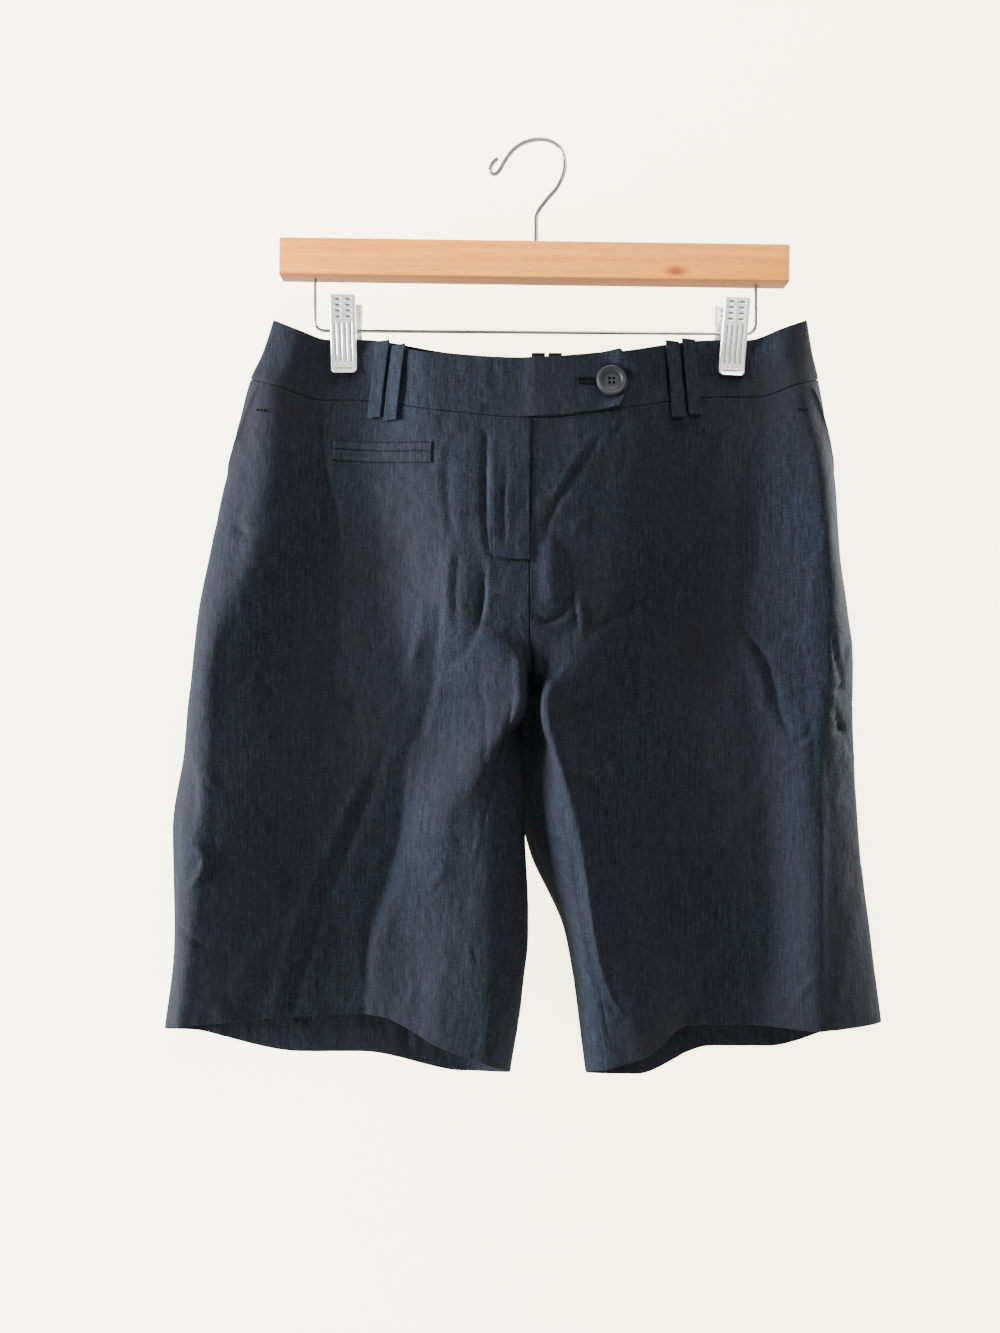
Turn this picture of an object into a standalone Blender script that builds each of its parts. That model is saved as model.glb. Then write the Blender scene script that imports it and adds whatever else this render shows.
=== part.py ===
"""Bermuda shorts hanging from a wooden clip hanger, in metres, +Z up.

The origin is the inside of the hook's crown, where a wall hook or a rod holds the hanger.
The front faces -Y. The wearer's right leg is at -X, on the left of someone facing the front.
Tables are in millimetres.
"""

import math

import bmesh
import bpy
import numpy as np
from mathutils import Matrix, Vector

MM = 0.001

CLOTH_THICKNESS = 1.2
SEAM_GAP = 0.3
# Half the gap at the crotch, where four panels meet, and just below it
CROTCH_GAPS = (1.0, 0.3)
LAY_GAP = 0.45

BAND_TOP = 140
JAW_FOOT = 167
WAIST_SEAM = 185
POCKET_FOOT = 235
CROTCH = 388
HEM = 625

SIGN = {"right": -1, "left": 1}
OTHER = {"right": "left", "left": "right"}

# A row is one level of a leg, by its drop below the origin. Each line down the cloth has its
# (x, y) there: the centre is the fly and then the inseam, and the valley hangs under the clip.
# Columns: drop, centre, inner, valley, half of the valley's width, outer, side
FRONT_ROWS = {
    "right": (
        (BAND_TOP, (-4, -27), (-74, -22), (-136, -1), 10, (-167, -6), (-184, 0)),
        (JAW_FOOT, (-4, -28), (-70, -24), (-136, -1), 10, (-173, -9), (-192, 0)),
        (WAIST_SEAM, (-5, -30), (-67, -26), (-138, -5), 11, (-180, -13), (-200, 0)),
        (POCKET_FOOT, (-6, -36), (-56, -32), (-138, -13), 12, (-183, -22), (-215, -3)),
        (285, (-7, -39), (-46, -37), (-125, -14), 12, (-191, -27), (-225, -4)),
        (330, (-7, -40), (-40, -39), (-123, -14), 13, (-209, -30), (-234, -4)),
        (365, (-7, -30), (-15, -40), (-117, -14), 14, (-218, -30), (-238, -4)),
        (CROTCH, (-7, -6), (-14, -37), (-112, -14), 14, (-219, -30), (-241, -4)),
        (420, (-23, -22), (-31, -36), (-103, -14), 14, (-219, -30), (-244, -4)),
        (480, (-36, -33), (-57, -31), (-114, -12), 16, (-222, -29), (-253, -3)),
        (550, (-36, -32), (-60, -28), (-121, -10), 16, (-232, -26), (-252, -2)),
        (HEM, (-37, -30), (-67, -27), (-126, -10), 14, (-243, -20), (-259, -2)),
    ),
    "left": (
        (BAND_TOP, (-4, -27), (48, -22), (135, -1), 11, (170, -6), (187, 0)),
        (JAW_FOOT, (-4, -28), (51, -24), (135, -1), 11, (172, -9), (191, 0)),
        (WAIST_SEAM, (-5, -30), (54, -26), (140, -5), 11, (175, -13), (195, 0)),
        (POCKET_FOOT, (-6, -36), (50, -32), (137, -13), 14, (188, -20), (205, -3)),
        (285, (-7, -39), (46, -35), (133, -14), 15, (190, -25), (208, -4)),
        (330, (-7, -40), (40, -37), (116, -14), 18, (192, -27), (214, -4)),
        (365, (-7, -30), (20, -39), (118, -14), 18, (190, -27), (217, -4)),
        (CROTCH, (-1, -6), (5, -38), (122, -14), 18, (188, -27), (217, -4)),
        (420, (1, -20), (12, -37), (129, -14), 18, (183, -27), (218, -4)),
        (480, (18, -33), (26, -36), (135, -12), 18, (182, -27), (221, -3)),
        (550, (30, -33), (40, -36), (141, -11), 16, (182, -27), (230, -2)),
        (HEM, (48, -34), (67, -35), (125, -14), 20, (185, -27), (238, -2)),
    ),
}

# The back has fewer levels. Its roll is the edge where it turns forward to the inseam.
# Columns: drop, outer, valley, half of the valley's width, inner, roll, centre
BACK_ROWS = {
    "right": (
        (BAND_TOP, (-167, 6), (-136, 1), 10, (-60, 9), (-20, 12), (7, 12)),
        (JAW_FOOT, (-172, 7), (-136, 1), 10, (-60, 11), (-20, 13), (7, 13)),
        (WAIST_SEAM, (-178, 9), (-137, 5), 11, (-60, 12), (-20, 14), (7, 14)),
        (POCKET_FOOT, (-190, 12), (-135, 9), 14, (-60, 13), (-20, 14), (5, 14)),
        (330, (-210, 13), (-135, 9), 16, (-55, 13), (-20, 14), (1, 14)),
        (365, (-213, 12), (-135, 9), 18, (-50, 13), (-16, 11), (-1, 5)),
        (CROTCH, (-215, 12), (-134, 9), 18, (-47, 13), (-11, 5), (-7, -6)),
        (420, (-218, 12), (-134, 9), 18, (-45, 12), (-12, -6), (-23, -22)),
        (480, (-226, 12), (-138, 9), 20, (-46, 12), (-9, -12), (-36, -33)),
        (550, (-228, 11), (-140, 9), 20, (-48, 12), (-8, -12), (-36, -32)),
        (HEM, (-236, 10), (-145, 9), 20, (-52, 10), (-20, -15), (-37, -30)),
    ),
    "left": (
        (BAND_TOP, (170, 6), (135, 1), 11, (62, 9), (30, 12), (7, 12)),
        (JAW_FOOT, (172, 7), (135, 1), 11, (62, 11), (31, 13), (7, 13)),
        (WAIST_SEAM, (176, 9), (138, 5), 11, (62, 12), (32, 13), (7, 14)),
        (POCKET_FOOT, (187, 12), (136, 9), 14, (62, 13), (30, 14), (5, 14)),
        (330, (192, 13), (134, 9), 16, (58, 13), (22, 14), (1, 14)),
        (365, (194, 12), (134, 9), 18, (52, 13), (9, 12), (-1, 5)),
        (CROTCH, (195, 12), (134, 9), 18, (46, 13), (-9, 9), (-1, -6)),
        (420, (196, 12), (134, 9), 18, (44, 12), (-15, 5), (1, -20)),
        (480, (200, 12), (136, 9), 20, (42, 12), (-10, 5), (18, -33)),
        (550, (207, 11), (138, 9), 20, (52, 11), (19, -8), (30, -33)),
        (HEM, (214, 10), (142, 9), 20, (70, 9), (32, -20), (48, -34)),
    ),
}

# How far each line stands above its row's level. The waist dips at the centre, and the front
# hem rises under the clip.
# Columns: drop; centre, inner, valley, outer and side of the front; outer, valley, inner, roll
# and centre of the back
RISE_ROWS = {
    "right": (
        (BAND_TOP, -19, -14, 1, 7, 15, 10, 2, -5, -7, -8),
        (WAIST_SEAM, -15, -9, 3, 11, 19, 14, 6, -3, -5, -6),
        (POCKET_FOOT, 0, 0, 0, 0, 0, 0, 0, 0, 0, 0),
        (550, 0, 0, 0, 0, 0, 0, 0, 0, 0, 0),
        (HEM, -7, 3, 19, 14, 7, 1, -13, -27, -18, -7),
    ),
    "left": (
        (BAND_TOP, -19, -14, 1, 8, 15, 10, 1, -5, -7, -8),
        (WAIST_SEAM, -15, -8, 5, 11, 19, 14, 6, -3, -5, -6),
        (POCKET_FOOT, 0, 0, 0, 0, 0, 0, 0, 0, 0, 0),
        (550, 0, 0, 0, 0, 0, 0, 0, 0, 0, 0),
        (HEM, -8, -2, 14, 14, 12, 5, -9, -29, -16, -8),
    ),
}

# Steps of the mesh between one line and the next, round the leg, and between one row and the next
FRONT_STEPS = (5, 5, 2, 4, 4)
BACK_STEPS = (4, 3, 2, 4, 3, 3)
BAND_STEPS = (3, 2)
LEG_STEPS = (3, 3, 3, 2, 3, 3, 3, 3, 3)

# The slant pocket's mouth, as a share of the way from the outer ridge to the side seam
POCKET_MOUTH = (0.45, 0.63, 0.82, 1.0)
FACING_END = 0.8

# The x that the tab's pointed end reaches, at each level of the band from top to foot
TAB_REACH = (53, 58.5, 64, 60.5, 57, 53)
TAB_STEPS = 7
TAB_LIFT = 1.8
TAB_RAMP = 9
UNDERLAP_START = -2

LOOP_WIDTH = 9.6
LOOP_THICKNESS = 1.4
LOOP_ABOVE_BAND = 1.5
LOOP_BELOW_SEAM = 11
# Columns: name, face, x at the top, x at the foot
LOOPS = (
    ("belt_loop_1", "front", -106.0, -112.0),
    ("belt_loop_2", "front", -94.5, -100.4),
    ("belt_loop_3", "front", 91.0, 94.0),
    ("belt_loop_4", "front", 103.0, 106.4),
    ("belt_loop_5", "back", 0.8, 0.8),
    ("belt_loop_6", "back", 12.7, 12.7),
)
# How far a loop stands off the band, from its top to its foot: it is sewn down at both ends
LOOP_STAND = (0.0, 0.6, 1.4, 1.8, 1.8, 1.4, 0.6, 0.0)

WELT_LEFT = -141
WELT_RIGHT = -72
WELT_SLOPE = 4.0
# Columns: name, drop of its top edge, drop of its foot
WELTS = (("welt_upper", 211.5, 216.8), ("welt_lower", 217.4, 224.6))
WELT_THICKNESS = 1.0

FLY_INNER = -6.6
FLY_OUTER = -31
FLY_TOP = 202
FLY_FOOT = 296
FLY_THICKNESS = 1.0
ZIP_FOOT = 288
ZIP_HALF_WIDTH = 8
ZIP_THICKNESS = 1.0
SLIDER_THICKNESS = 2.0

BUTTON_X = 47.8
BUTTON_DROP = 175.2
BUTTON_HOLE = 2.0
BUTTON_HOLE_SPACING = 3.0
# Half of the button's section: (radius, height) from the dished middle over the rim to the back
BUTTON_PROFILE = (
    (0, 1.7), (4.6, 1.7), (6.4, 2.1), (7.4, 3.1), (9.2, 3.4),
    (10.2, 2.7), (10.5, 1.6), (9.6, 0.5), (8, 0), (0, 0),
)

BAR_LENGTH = 353
BAR_THICKNESS = 14
BAR_HEIGHT = 26
BAR_CENTRE = (-2.7, 0, -85)
HANGER_TILT = math.radians(0.8)

HOOK_WIRE = 2.8
HOOK_POINTS = (
    (-1.4, -71.6), (-1.3, -60), (-0.6, -50.5), (5.5, -41.5), (13.4, -32), (18.2, -21.5), (18.4, -12),
    (15.2, -4.4), (9.2, 0.2), (0, 1.4), (-9.6, -0.9), (-17.6, -6.4), (-23, -13.6), (-26.6, -20),
    (-30, -22.9), (-33.2, -20.6), (-32, -15.6), (-28.2, -12),
)
LOWER_WIRE = 2.2
LOWER_WIRE_HALF_SPAN = 153.7
LOWER_WIRE_CENTRE = -1.7
LOWER_WIRE_DROP = 133.2
LOWER_WIRE_BEND = 7
WIRE_TILT = math.radians(0.4)

CLIP_STEEL = 0.9
# Columns: name, x, lean, how far the back plate is shifted sideways
CLIPS = (
    ("clip_right", -135.0, 0.0, 1.2),
    ("clip_left", 136.0, math.radians(3.0), -1.2),
)
# Columns: drop below the wire, distance of the plate's inner face from the middle, depth of the
# flanges bent back along its sides, width
PLATE_ROWS = (
    (-22, 9.4, 0.4, 16.5),
    (-20.5, 9.3, 1.0, 18),
    (-8, 7.6, 1.0, 18),
    (-6, 7.2, 5.75, 18),
    (2.4, 6.0, 4.55, 18),
    (3.6, 5.7, 0.8, 18),
    (12, 3.4, 0.6, 18),
    (17, 2.2, 0.3, 18),
    (26.5, 2.2, 0.3, 18),
    (29, 3.2, 0.3, 16),
    (30.2, 4.0, 0.3, 12),
)
BACK_PLATE_WIDER = 3.0
SPRING_INNER = 1.4
SPRING_OUTER = 2.3
SPRING_LENGTH = 12

COLOURS = {
    "denim": ((0.020, 0.027, 0.045), 0.85, 0.0),
    "denim_dark": ((0.012, 0.016, 0.028), 0.9, 0.0),
    "zip": ((0.03, 0.035, 0.05), 0.7, 0.0),
    "button": ((0.018, 0.019, 0.024), 0.4, 0.0),
    "beech": ((0.72, 0.43, 0.22), 0.5, 0.0),
    "steel": ((0.75, 0.75, 0.74), 0.22, 1.0),
}


def through(knots, values, at):
    """Monotone cubic through the knots, which leaves every ridge and valley where its row puts it."""
    knots = np.asarray(knots, float)
    values = np.asarray(values, float)
    gaps = np.diff(knots)[:, None]
    rates = np.diff(values, axis=0) / gaps
    slopes = np.zeros_like(values)
    slopes[0] = rates[0]
    slopes[-1] = rates[-1]
    same_way = rates[1:] * rates[:-1] > 0
    left = np.where(same_way, rates[:-1], 1.0)
    right = np.where(same_way, rates[1:], 1.0)
    weight_left = 2 * gaps[1:] + gaps[:-1]
    weight_right = gaps[1:] + 2 * gaps[:-1]
    mean = (weight_left + weight_right) / (weight_left / left + weight_right / right)
    slopes[1:-1] = np.where(same_way, mean, 0.0)
    at = np.clip(np.asarray(at, float), knots[0], knots[-1])
    index = np.clip(np.searchsorted(knots, at, side="right") - 1, 0, len(knots) - 2)
    gap = gaps[index]
    share = ((at - knots[index])[:, None]) / gap
    rest = 1 - share
    start = values[index] * (1 + 2 * share) * rest**2 + slopes[index] * gap * share * rest**2
    end = values[index + 1] * (3 - 2 * share) * share**2 - slopes[index + 1] * gap * share**2 * rest
    return start + end


def front_lines(row, sign):
    """A front row's (x, y) for each line, with the valley opened into its two edges."""
    _, centre, inner, (x, y), half, outer, side = row
    return [centre, inner, (x - sign * half, y), (x + sign * half, y), outer, side]


def back_lines(row, sign):
    _, outer, (x, y), half, inner, roll, centre = row
    return [outer, (x + sign * half, y), (x - sign * half, y), inner, roll, centre]


def lines_at(rows, spread, sign, drop):
    drops = [row[0] for row in rows]
    plans = [np.ravel(spread(row, sign)) for row in rows]
    return through(drops, plans, [drop]).reshape(-1, 2)


def control_points(side, drop):
    """The twelve lines of one leg at this level, round from the centre front to the centre back."""
    sign = SIGN[side]
    front = lines_at(FRONT_ROWS[side], front_lines, sign, drop)
    back = lines_at(BACK_ROWS[side], back_lines, sign, drop)
    rises = through([row[0] for row in RISE_ROWS[side]], [row[1:] for row in RISE_ROWS[side]], [drop])[0]
    heights = rises[[0, 1, 2, 2, 3, 4, 5, 6, 6, 7, 8, 9]] - drop
    return np.column_stack([np.vstack([front, back]), heights])


def ring(side, drop, steps):
    """Points round one leg at this level. Above the crotch both legs share the centre lines,
    and below it the ring closes at the inseam."""
    own = control_points(side, drop)
    if drop < CROTCH:
        across = control_points(OTHER[side], drop)
        before, after = across[1], across[-2]
        own[0] = (own[0] + across[0]) / 2
        own[-1] = (own[-1] + across[-1]) / 2
    else:
        before, after = own[-2], own[1]
        own[0] = own[-1] = (own[0] + own[-1]) / 2
    points = np.vstack([before, own, after])
    chords = np.linalg.norm(np.diff(points[:, :2], axis=0), axis=1)
    knots = np.concatenate([[0], np.cumsum(chords)])
    at = [knots[1]]
    for start, end, count in zip(knots[1:], knots[2:], steps):
        at.extend(start + (end - start) * np.arange(1, count + 1) / count)
    return through(knots, points, at)


def row_drops(knots, steps):
    """The levels of the mesh's rows, from the table's levels and the steps between them."""
    drops = [knots[0]]
    for start, end, count in zip(knots, knots[1:], steps):
        drops.extend(start + (end - start) * np.arange(1, count + 1) / count)
    return np.array(drops, float)


def unit(vectors):
    return vectors / np.linalg.norm(vectors, axis=-1, keepdims=True)


def leg_surfaces(drops):
    """The middle of each leg's cloth, and its outward directions, over the given levels."""
    steps = FRONT_STEPS + BACK_STEPS
    grids = {side: np.array([ring(side, drop, steps) for drop in drops]) for side in SIGN}
    joined = (drops < CROTCH)[:, None]
    surfaces = {}
    for side, grid in grids.items():
        other = grids[OTHER[side]]
        before = np.where(joined, other[:, 1], grid[:, -2])[:, None]
        after = np.where(joined, other[:, -2], grid[:, 1])[:, None]
        around = unit(np.diff(np.concatenate([before, grid, after], axis=1), axis=1))
        across = around[:, :-1] + around[:, 1:]
        down = np.gradient(grid, axis=0)
        split = int(np.argmin(abs(drops - CROTCH)))
        ends = [0, -1]
        down[split, ends] = grid[split + 1, ends] - grid[split, ends]
        surfaces[side] = grid, unit(np.cross(across, down)) * -SIGN[side]
    return surfaces


TABLE_DROPS = tuple(row[0] for row in FRONT_ROWS["right"])
BAND_ROW_COUNT = sum(BAND_STEPS) + 1
DROPS = row_drops(TABLE_DROPS, BAND_STEPS + LEG_STEPS)
SURFACES = leg_surfaces(DROPS)
SIDE_COLUMN = sum(FRONT_STEPS)
CROTCH_ROW = int(np.argmin(abs(DROPS - CROTCH)))


def material(name):
    found = bpy.data.materials.get(name)
    if found:
        return found
    colour, roughness, metallic = COLOURS[name]
    made = bpy.data.materials.new(name)
    made.use_nodes = True
    shader = made.node_tree.nodes["Principled BSDF"]
    shader.inputs["Base Color"].default_value = (*colour, 1)
    shader.inputs["Roughness"].default_value = roughness
    shader.inputs["Metallic"].default_value = metallic
    made.diffuse_color = (*colour, 1)
    return made


def new_object(name, mesh, finish, collection):
    made = bpy.data.objects.new(name, mesh)
    collection.objects.link(made)
    made.data.materials.append(material(finish))
    return made


def mesh_from(name, points, faces):
    mesh = bpy.data.meshes.new(name)
    mesh.from_pydata([tuple(point * MM) for point in points], [], faces)
    mesh.validate()
    mesh.shade_smooth()
    mesh.set_sharp_from_angle(angle=math.radians(35))
    return mesh


def pull_in(points, distances):
    """Draws the four edges of a grid in: its first and last columns, then its first and last rows."""
    points = points.copy()
    first, last, top, foot = distances
    columns = np.swapaxes(points, 0, 1)
    for lines, index, inner, distance in (
        (columns, 0, 1, first), (columns, -1, -2, last), (points, 0, 1, top), (points, -1, -2, foot),
    ):
        way = lines[inner] - lines[index]
        length = np.linalg.norm(way, axis=1)[:, None]
        lines[index] += way / length * np.reshape(distance, (-1, 1))
    return points


def cloth(name, points, normals, finish, collection, thickness=CLOTH_THICKNESS):
    """A closed wall of cloth round a grid of middle points, half its thickness to each side.

    Neighbouring pieces share the directions along a seam, so their edges face each other squarely.
    """
    rows, columns = points.shape[:2]
    outer = points + normals * thickness / 2
    inner = points - normals * thickness / 2
    vertices = np.vstack([outer.reshape(-1, 3), inner.reshape(-1, 3)])
    layer = rows * columns
    faces = []
    for row in range(rows - 1):
        for column in range(columns - 1):
            a = row * columns + column
            quad = (a, a + 1, a + columns + 1, a + columns)
            faces.append(quad)
            faces.append(tuple(layer + index for index in reversed(quad)))
    border = [column for column in range(columns)]
    border += [row * columns + columns - 1 for row in range(1, rows)]
    border += [(rows - 1) * columns + column for column in range(columns - 2, -1, -1)]
    border += [row * columns for row in range(rows - 2, 0, -1)]
    for start, end in zip(border, border[1:] + border[:1]):
        faces.append((end, start, layer + start, layer + end))
    mesh = mesh_from(name, vertices, faces)
    facing = np.cross(points[0, 1] - points[0, 0], points[1, 0] - points[0, 0]) @ normals[0, 0]
    if facing < 0:
        mesh.flip_normals()
    return new_object(name, mesh, finish, collection)


def seam_gaps(count, row_of_crotch):
    """Half the seam gap for each row, wider where four panels meet at the crotch."""
    gaps = np.full(count, SEAM_GAP / 2)
    gaps[row_of_crotch:row_of_crotch + 2] = CROTCH_GAPS
    return gaps


def front_panels(collection):
    first_row = BAND_ROW_COUNT - 1
    half = SEAM_GAP / 2
    for side in SIGN:
        points, normals = (grid[first_row:].copy() for grid in SURFACES[side])
        last_steps = FRONT_STEPS[-1]
        start = SIDE_COLUMN - last_steps
        facing_points = []
        facing_normals = []
        for row, share in enumerate(POCKET_MOUTH):
            places = np.arange(last_steps + 1)
            wanted = np.linspace(0, share * last_steps, last_steps + 1)
            mouth_to_side = np.linspace(share * last_steps, last_steps, 3)
            stretch = slice(start, SIDE_COLUMN + 1)
            source = points[row, stretch].copy(), normals[row, stretch].copy()
            for grid, kept, facing in zip((points, normals), source, (facing_points, facing_normals)):
                grid[row, stretch] = [[np.interp(at, places, axis) for axis in kept.T] for at in wanted]
                facing.append([[np.interp(at, places, axis) for axis in kept.T] for at in mouth_to_side])
        panel = slice(0, SIDE_COLUMN + 1)
        inset = pull_in(
            points[:, panel], (seam_gaps(len(points), CROTCH_ROW - first_row), half, half, 0)
        )
        cloth(f"front_{side}", inset, normals[:, panel], "denim", collection)
        facing_points = np.array(facing_points)
        facing_normals = np.array(facing_normals)
        for grid in (facing_points, facing_normals):
            grid[-1] = grid[-2] + (grid[-1] - grid[-2]) * FACING_END
        inset = pull_in(facing_points, (half, half, half, 0))
        cloth(f"side_pocket_facing_{side}", inset, facing_normals, "denim", collection)


def back_panels(collection):
    first_row = BAND_ROW_COUNT - 1
    half = SEAM_GAP / 2
    for side in SIGN:
        points, normals = (grid[first_row:, SIDE_COLUMN:] for grid in SURFACES[side])
        inset = pull_in(points, (half, seam_gaps(len(points), CROTCH_ROW - first_row), half, 0))
        cloth(f"back_{side}", inset, normals, "denim", collection)


def tab_grid(points, normals, left_points, left_normals):
    """The right band from its side seam to the fly, then on over the left band as the tab."""
    tab_points = np.empty((len(points), TAB_STEPS, 3))
    tab_normals = np.empty_like(tab_points)
    for row, reach in enumerate(TAB_REACH):
        wanted = np.linspace(points[row, 0, 0], reach, TAB_STEPS + 1)[1:]
        for axis in range(3):
            tab_points[row, :, axis] = np.interp(wanted, left_points[row, :, 0], left_points[row, :, axis])
            tab_normals[row, :, axis] = np.interp(wanted, left_points[row, :, 0], left_normals[row, :, axis])
    joined = np.concatenate([points[:, ::-1], tab_points], axis=1)
    directions = np.concatenate([normals[:, ::-1], tab_normals], axis=1)
    lift = np.interp(joined[:, :, 0], (UNDERLAP_START - TAB_RAMP, UNDERLAP_START - 1.5), (0, TAB_LIFT))
    return joined + directions * lift[:, :, None], directions


def waistband(collection):
    half = SEAM_GAP / 2
    bands = {side: [grid[:BAND_ROW_COUNT] for grid in SURFACES[side]] for side in SIGN}
    front = slice(0, SIDE_COLUMN + 1)
    left_points, left_normals = (grid[:, front] for grid in bands["left"])
    right_points, right_normals = (grid[:, front] for grid in bands["right"])
    points, normals = tab_grid(right_points, right_normals, left_points, left_normals)
    inset = pull_in(points, (half, 0, 0, half))
    cloth("waistband_front_right", inset, normals, "denim", collection)
    start = UNDERLAP_START - left_points[:, 0, 0]
    inset = pull_in(left_points, (start, half, 0, half))
    cloth("waistband_front_left", inset, left_normals, "denim", collection)
    back = slice(SIDE_COLUMN, None)
    points, normals = (
        np.concatenate([bands["right"][part][:, back], bands["left"][part][:, back][:, -2::-1]], axis=1)
        for part in (0, 1)
    )
    inset = pull_in(points, (half, half, 0, half))
    cloth("waistband_back", inset, normals, "denim", collection)


def face_grid(face):
    """Middle points across the whole front or back, from the smallest x to the largest."""
    columns = slice(0, SIDE_COLUMN + 1) if face == "front" else slice(SIDE_COLUMN, None)
    right = SURFACES["right"][0][:CROTCH_ROW, columns]
    left = SURFACES["left"][0][:CROTCH_ROW, columns]
    if face == "front":
        return np.concatenate([right[:, ::-1], left[:, 1:]], axis=1)
    return np.concatenate([right, left[:, -2::-1]], axis=1)


def depth_at(grid, x, z):
    """The y of the cloth's middle at this x and z, read along the same facets as the panel's."""
    heights = np.array([np.interp(x, row[:, 0], row[:, 2]) for row in grid])
    depths = np.array([np.interp(x, row[:, 0], row[:, 1]) for row in grid])
    return np.interp(-z, -heights, depths)


def edge_height(grid, x, row):
    return np.interp(x, grid[row, :, 0], grid[row, :, 2])


def laid_on(face, x, z, distance):
    """Points and outward directions of a piece at this distance outside the cloth's middle."""
    grid = face_grid(face)
    outward = np.array([0, -1 if face == "front" else 1, 0])
    base = np.empty((*x.shape, 3))
    normals = np.empty_like(base)
    probe = 3.0
    for place in np.ndindex(x.shape):
        here_x, here_z = x[place], z[place]
        base[place] = here_x, depth_at(grid, here_x, here_z), here_z
        slope_x = depth_at(grid, here_x + probe, here_z) - depth_at(grid, here_x - probe, here_z)
        slope_z = depth_at(grid, here_x, here_z + probe) - depth_at(grid, here_x, here_z - probe)
        normal = np.array([-slope_x, 2 * probe, -slope_z]) * outward[1]
        normals[place] = normal / np.linalg.norm(normal)
    return base + normals * np.broadcast_to(distance, x.shape)[:, :, None], normals


def resting(thickness):
    """Distance from the cloth's middle to the middle of a piece that rests on it."""
    return CLOTH_THICKNESS / 2 + LAY_GAP + thickness / 2


def belt_loops(collection):
    stands = np.array(LOOP_STAND)
    rows = len(stands)
    for name, face, x_top, x_foot in LOOPS:
        grid = face_grid(face)
        top = edge_height(grid, x_top, 0) + LOOP_ABOVE_BAND
        foot = edge_height(grid, x_foot, BAND_ROW_COUNT - 1) - LOOP_BELOW_SEAM
        down = np.linspace(0, 1, rows)[:, None]
        x = x_top + (x_foot - x_top) * down + np.linspace(-0.5, 0.5, 4)[None, :] * LOOP_WIDTH
        z = top + (foot - top) * down + np.zeros((1, 4))
        points, normals = laid_on(face, x, z, resting(LOOP_THICKNESS) + stands[:, None])
        cloth(name, points, normals, "denim", collection, LOOP_THICKNESS)


def welt_pocket(collection):
    columns = 12
    fall = math.tan(math.radians(WELT_SLOPE)) * (WELT_RIGHT - WELT_LEFT)
    across = np.linspace(0, 1, columns)[None, :]
    for name, top, foot in WELTS:
        down = np.linspace(0, 1, 2)[:, None]
        x = WELT_LEFT + (WELT_RIGHT - WELT_LEFT) * across + np.zeros((2, 1))
        z = -(top + (foot - top) * down) - fall * across
        points, normals = laid_on("front", x, z, resting(WELT_THICKNESS))
        cloth(name, points, normals, "denim", collection, WELT_THICKNESS)


def fly(collection):
    x = np.linspace(FLY_OUTER, FLY_INNER, 6)[None, :] + np.zeros((13, 1))
    z = -np.linspace(FLY_TOP, FLY_FOOT, 13)[:, None] + np.zeros((1, 6))
    points, normals = laid_on("front", x, z, resting(FLY_THICKNESS))
    cloth("fly_placket", points, normals, "denim", collection, FLY_THICKNESS)
    behind = -resting(ZIP_THICKNESS)
    centre = FLY_INNER + 0.5
    x = centre + np.linspace(-ZIP_HALF_WIDTH, ZIP_HALF_WIDTH, 5)[None, :] + np.zeros((10, 1))
    z = -np.linspace(FLY_TOP + 1, ZIP_FOOT, 10)[:, None] + np.zeros((1, 5))
    points, normals = laid_on("front", x, z, behind)
    cloth("fly_zip", points, normals, "zip", collection, ZIP_THICKNESS)
    x = centre + np.linspace(-3, 3, 2)[None, :] + np.zeros((3, 1))
    z = -np.linspace(FLY_TOP + 3, FLY_TOP + 12, 3)[:, None] + np.zeros((1, 2))
    distance = behind - ZIP_THICKNESS / 2 - LAY_GAP - SLIDER_THICKNESS / 2
    points, normals = laid_on("front", x, z, distance)
    cloth("fly_zip_slider", points, normals, "steel", collection, SLIDER_THICKNESS)


def turned(name, profile, finish, collection, steps):
    """A body turned round its own Z axis from half a section that starts at the top."""
    mesh = bpy.data.meshes.new(name)
    vertices = [(radius * MM, 0, height * MM) for radius, height in profile]
    mesh.from_pydata(vertices, [(index, index + 1) for index in range(len(vertices) - 1)], [])
    made = new_object(name, mesh, finish, collection)
    screw = made.modifiers.new("Turn", "SCREW")
    screw.axis = "Z"
    screw.steps = steps
    screw.render_steps = steps
    screw.use_merge_vertices = True
    screw.merge_threshold = 0.00001
    screw.use_smooth_shade = True
    return made


def cylinder(name, radius, length, collection):
    mesh = bpy.data.meshes.new(name)
    shape = bmesh.new()
    bmesh.ops.create_cone(
        shape, cap_ends=True, segments=10, radius1=radius * MM, radius2=radius * MM, depth=length * MM
    )
    shape.to_mesh(mesh)
    shape.free()
    made = bpy.data.objects.new(name, mesh)
    collection.objects.link(made)
    made.hide_render = True
    made.display_type = "WIRE"
    return made


def button(collection, cutters):
    x = np.array([[BUTTON_X]])
    z = np.array([[-BUTTON_DROP]])
    points, normals = laid_on("front", x, z, TAB_LIFT + resting(0))
    made = turned("button", BUTTON_PROFILE, "button", collection, 28)
    frame = Vector(normals[0, 0]).to_track_quat("Z", "Y").to_matrix().to_4x4()
    place = Matrix.Translation(Vector(points[0, 0]) * MM) @ frame
    made.matrix_world = place
    offset = BUTTON_HOLE_SPACING / 2
    for index, (right, up) in enumerate(((1, 1), (-1, 1), (-1, -1), (1, -1))):
        cutter = cylinder(f"button_hole_{index + 1}", BUTTON_HOLE / 2, 12, cutters)
        cutter.matrix_world = place @ Matrix.Translation((right * offset * MM, up * offset * MM, 0))
        cut = made.modifiers.new(f"Hole {index + 1}", "BOOLEAN")
        cut.operation = "DIFFERENCE"
        cut.solver = "EXACT"
        cut.object = cutter


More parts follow.
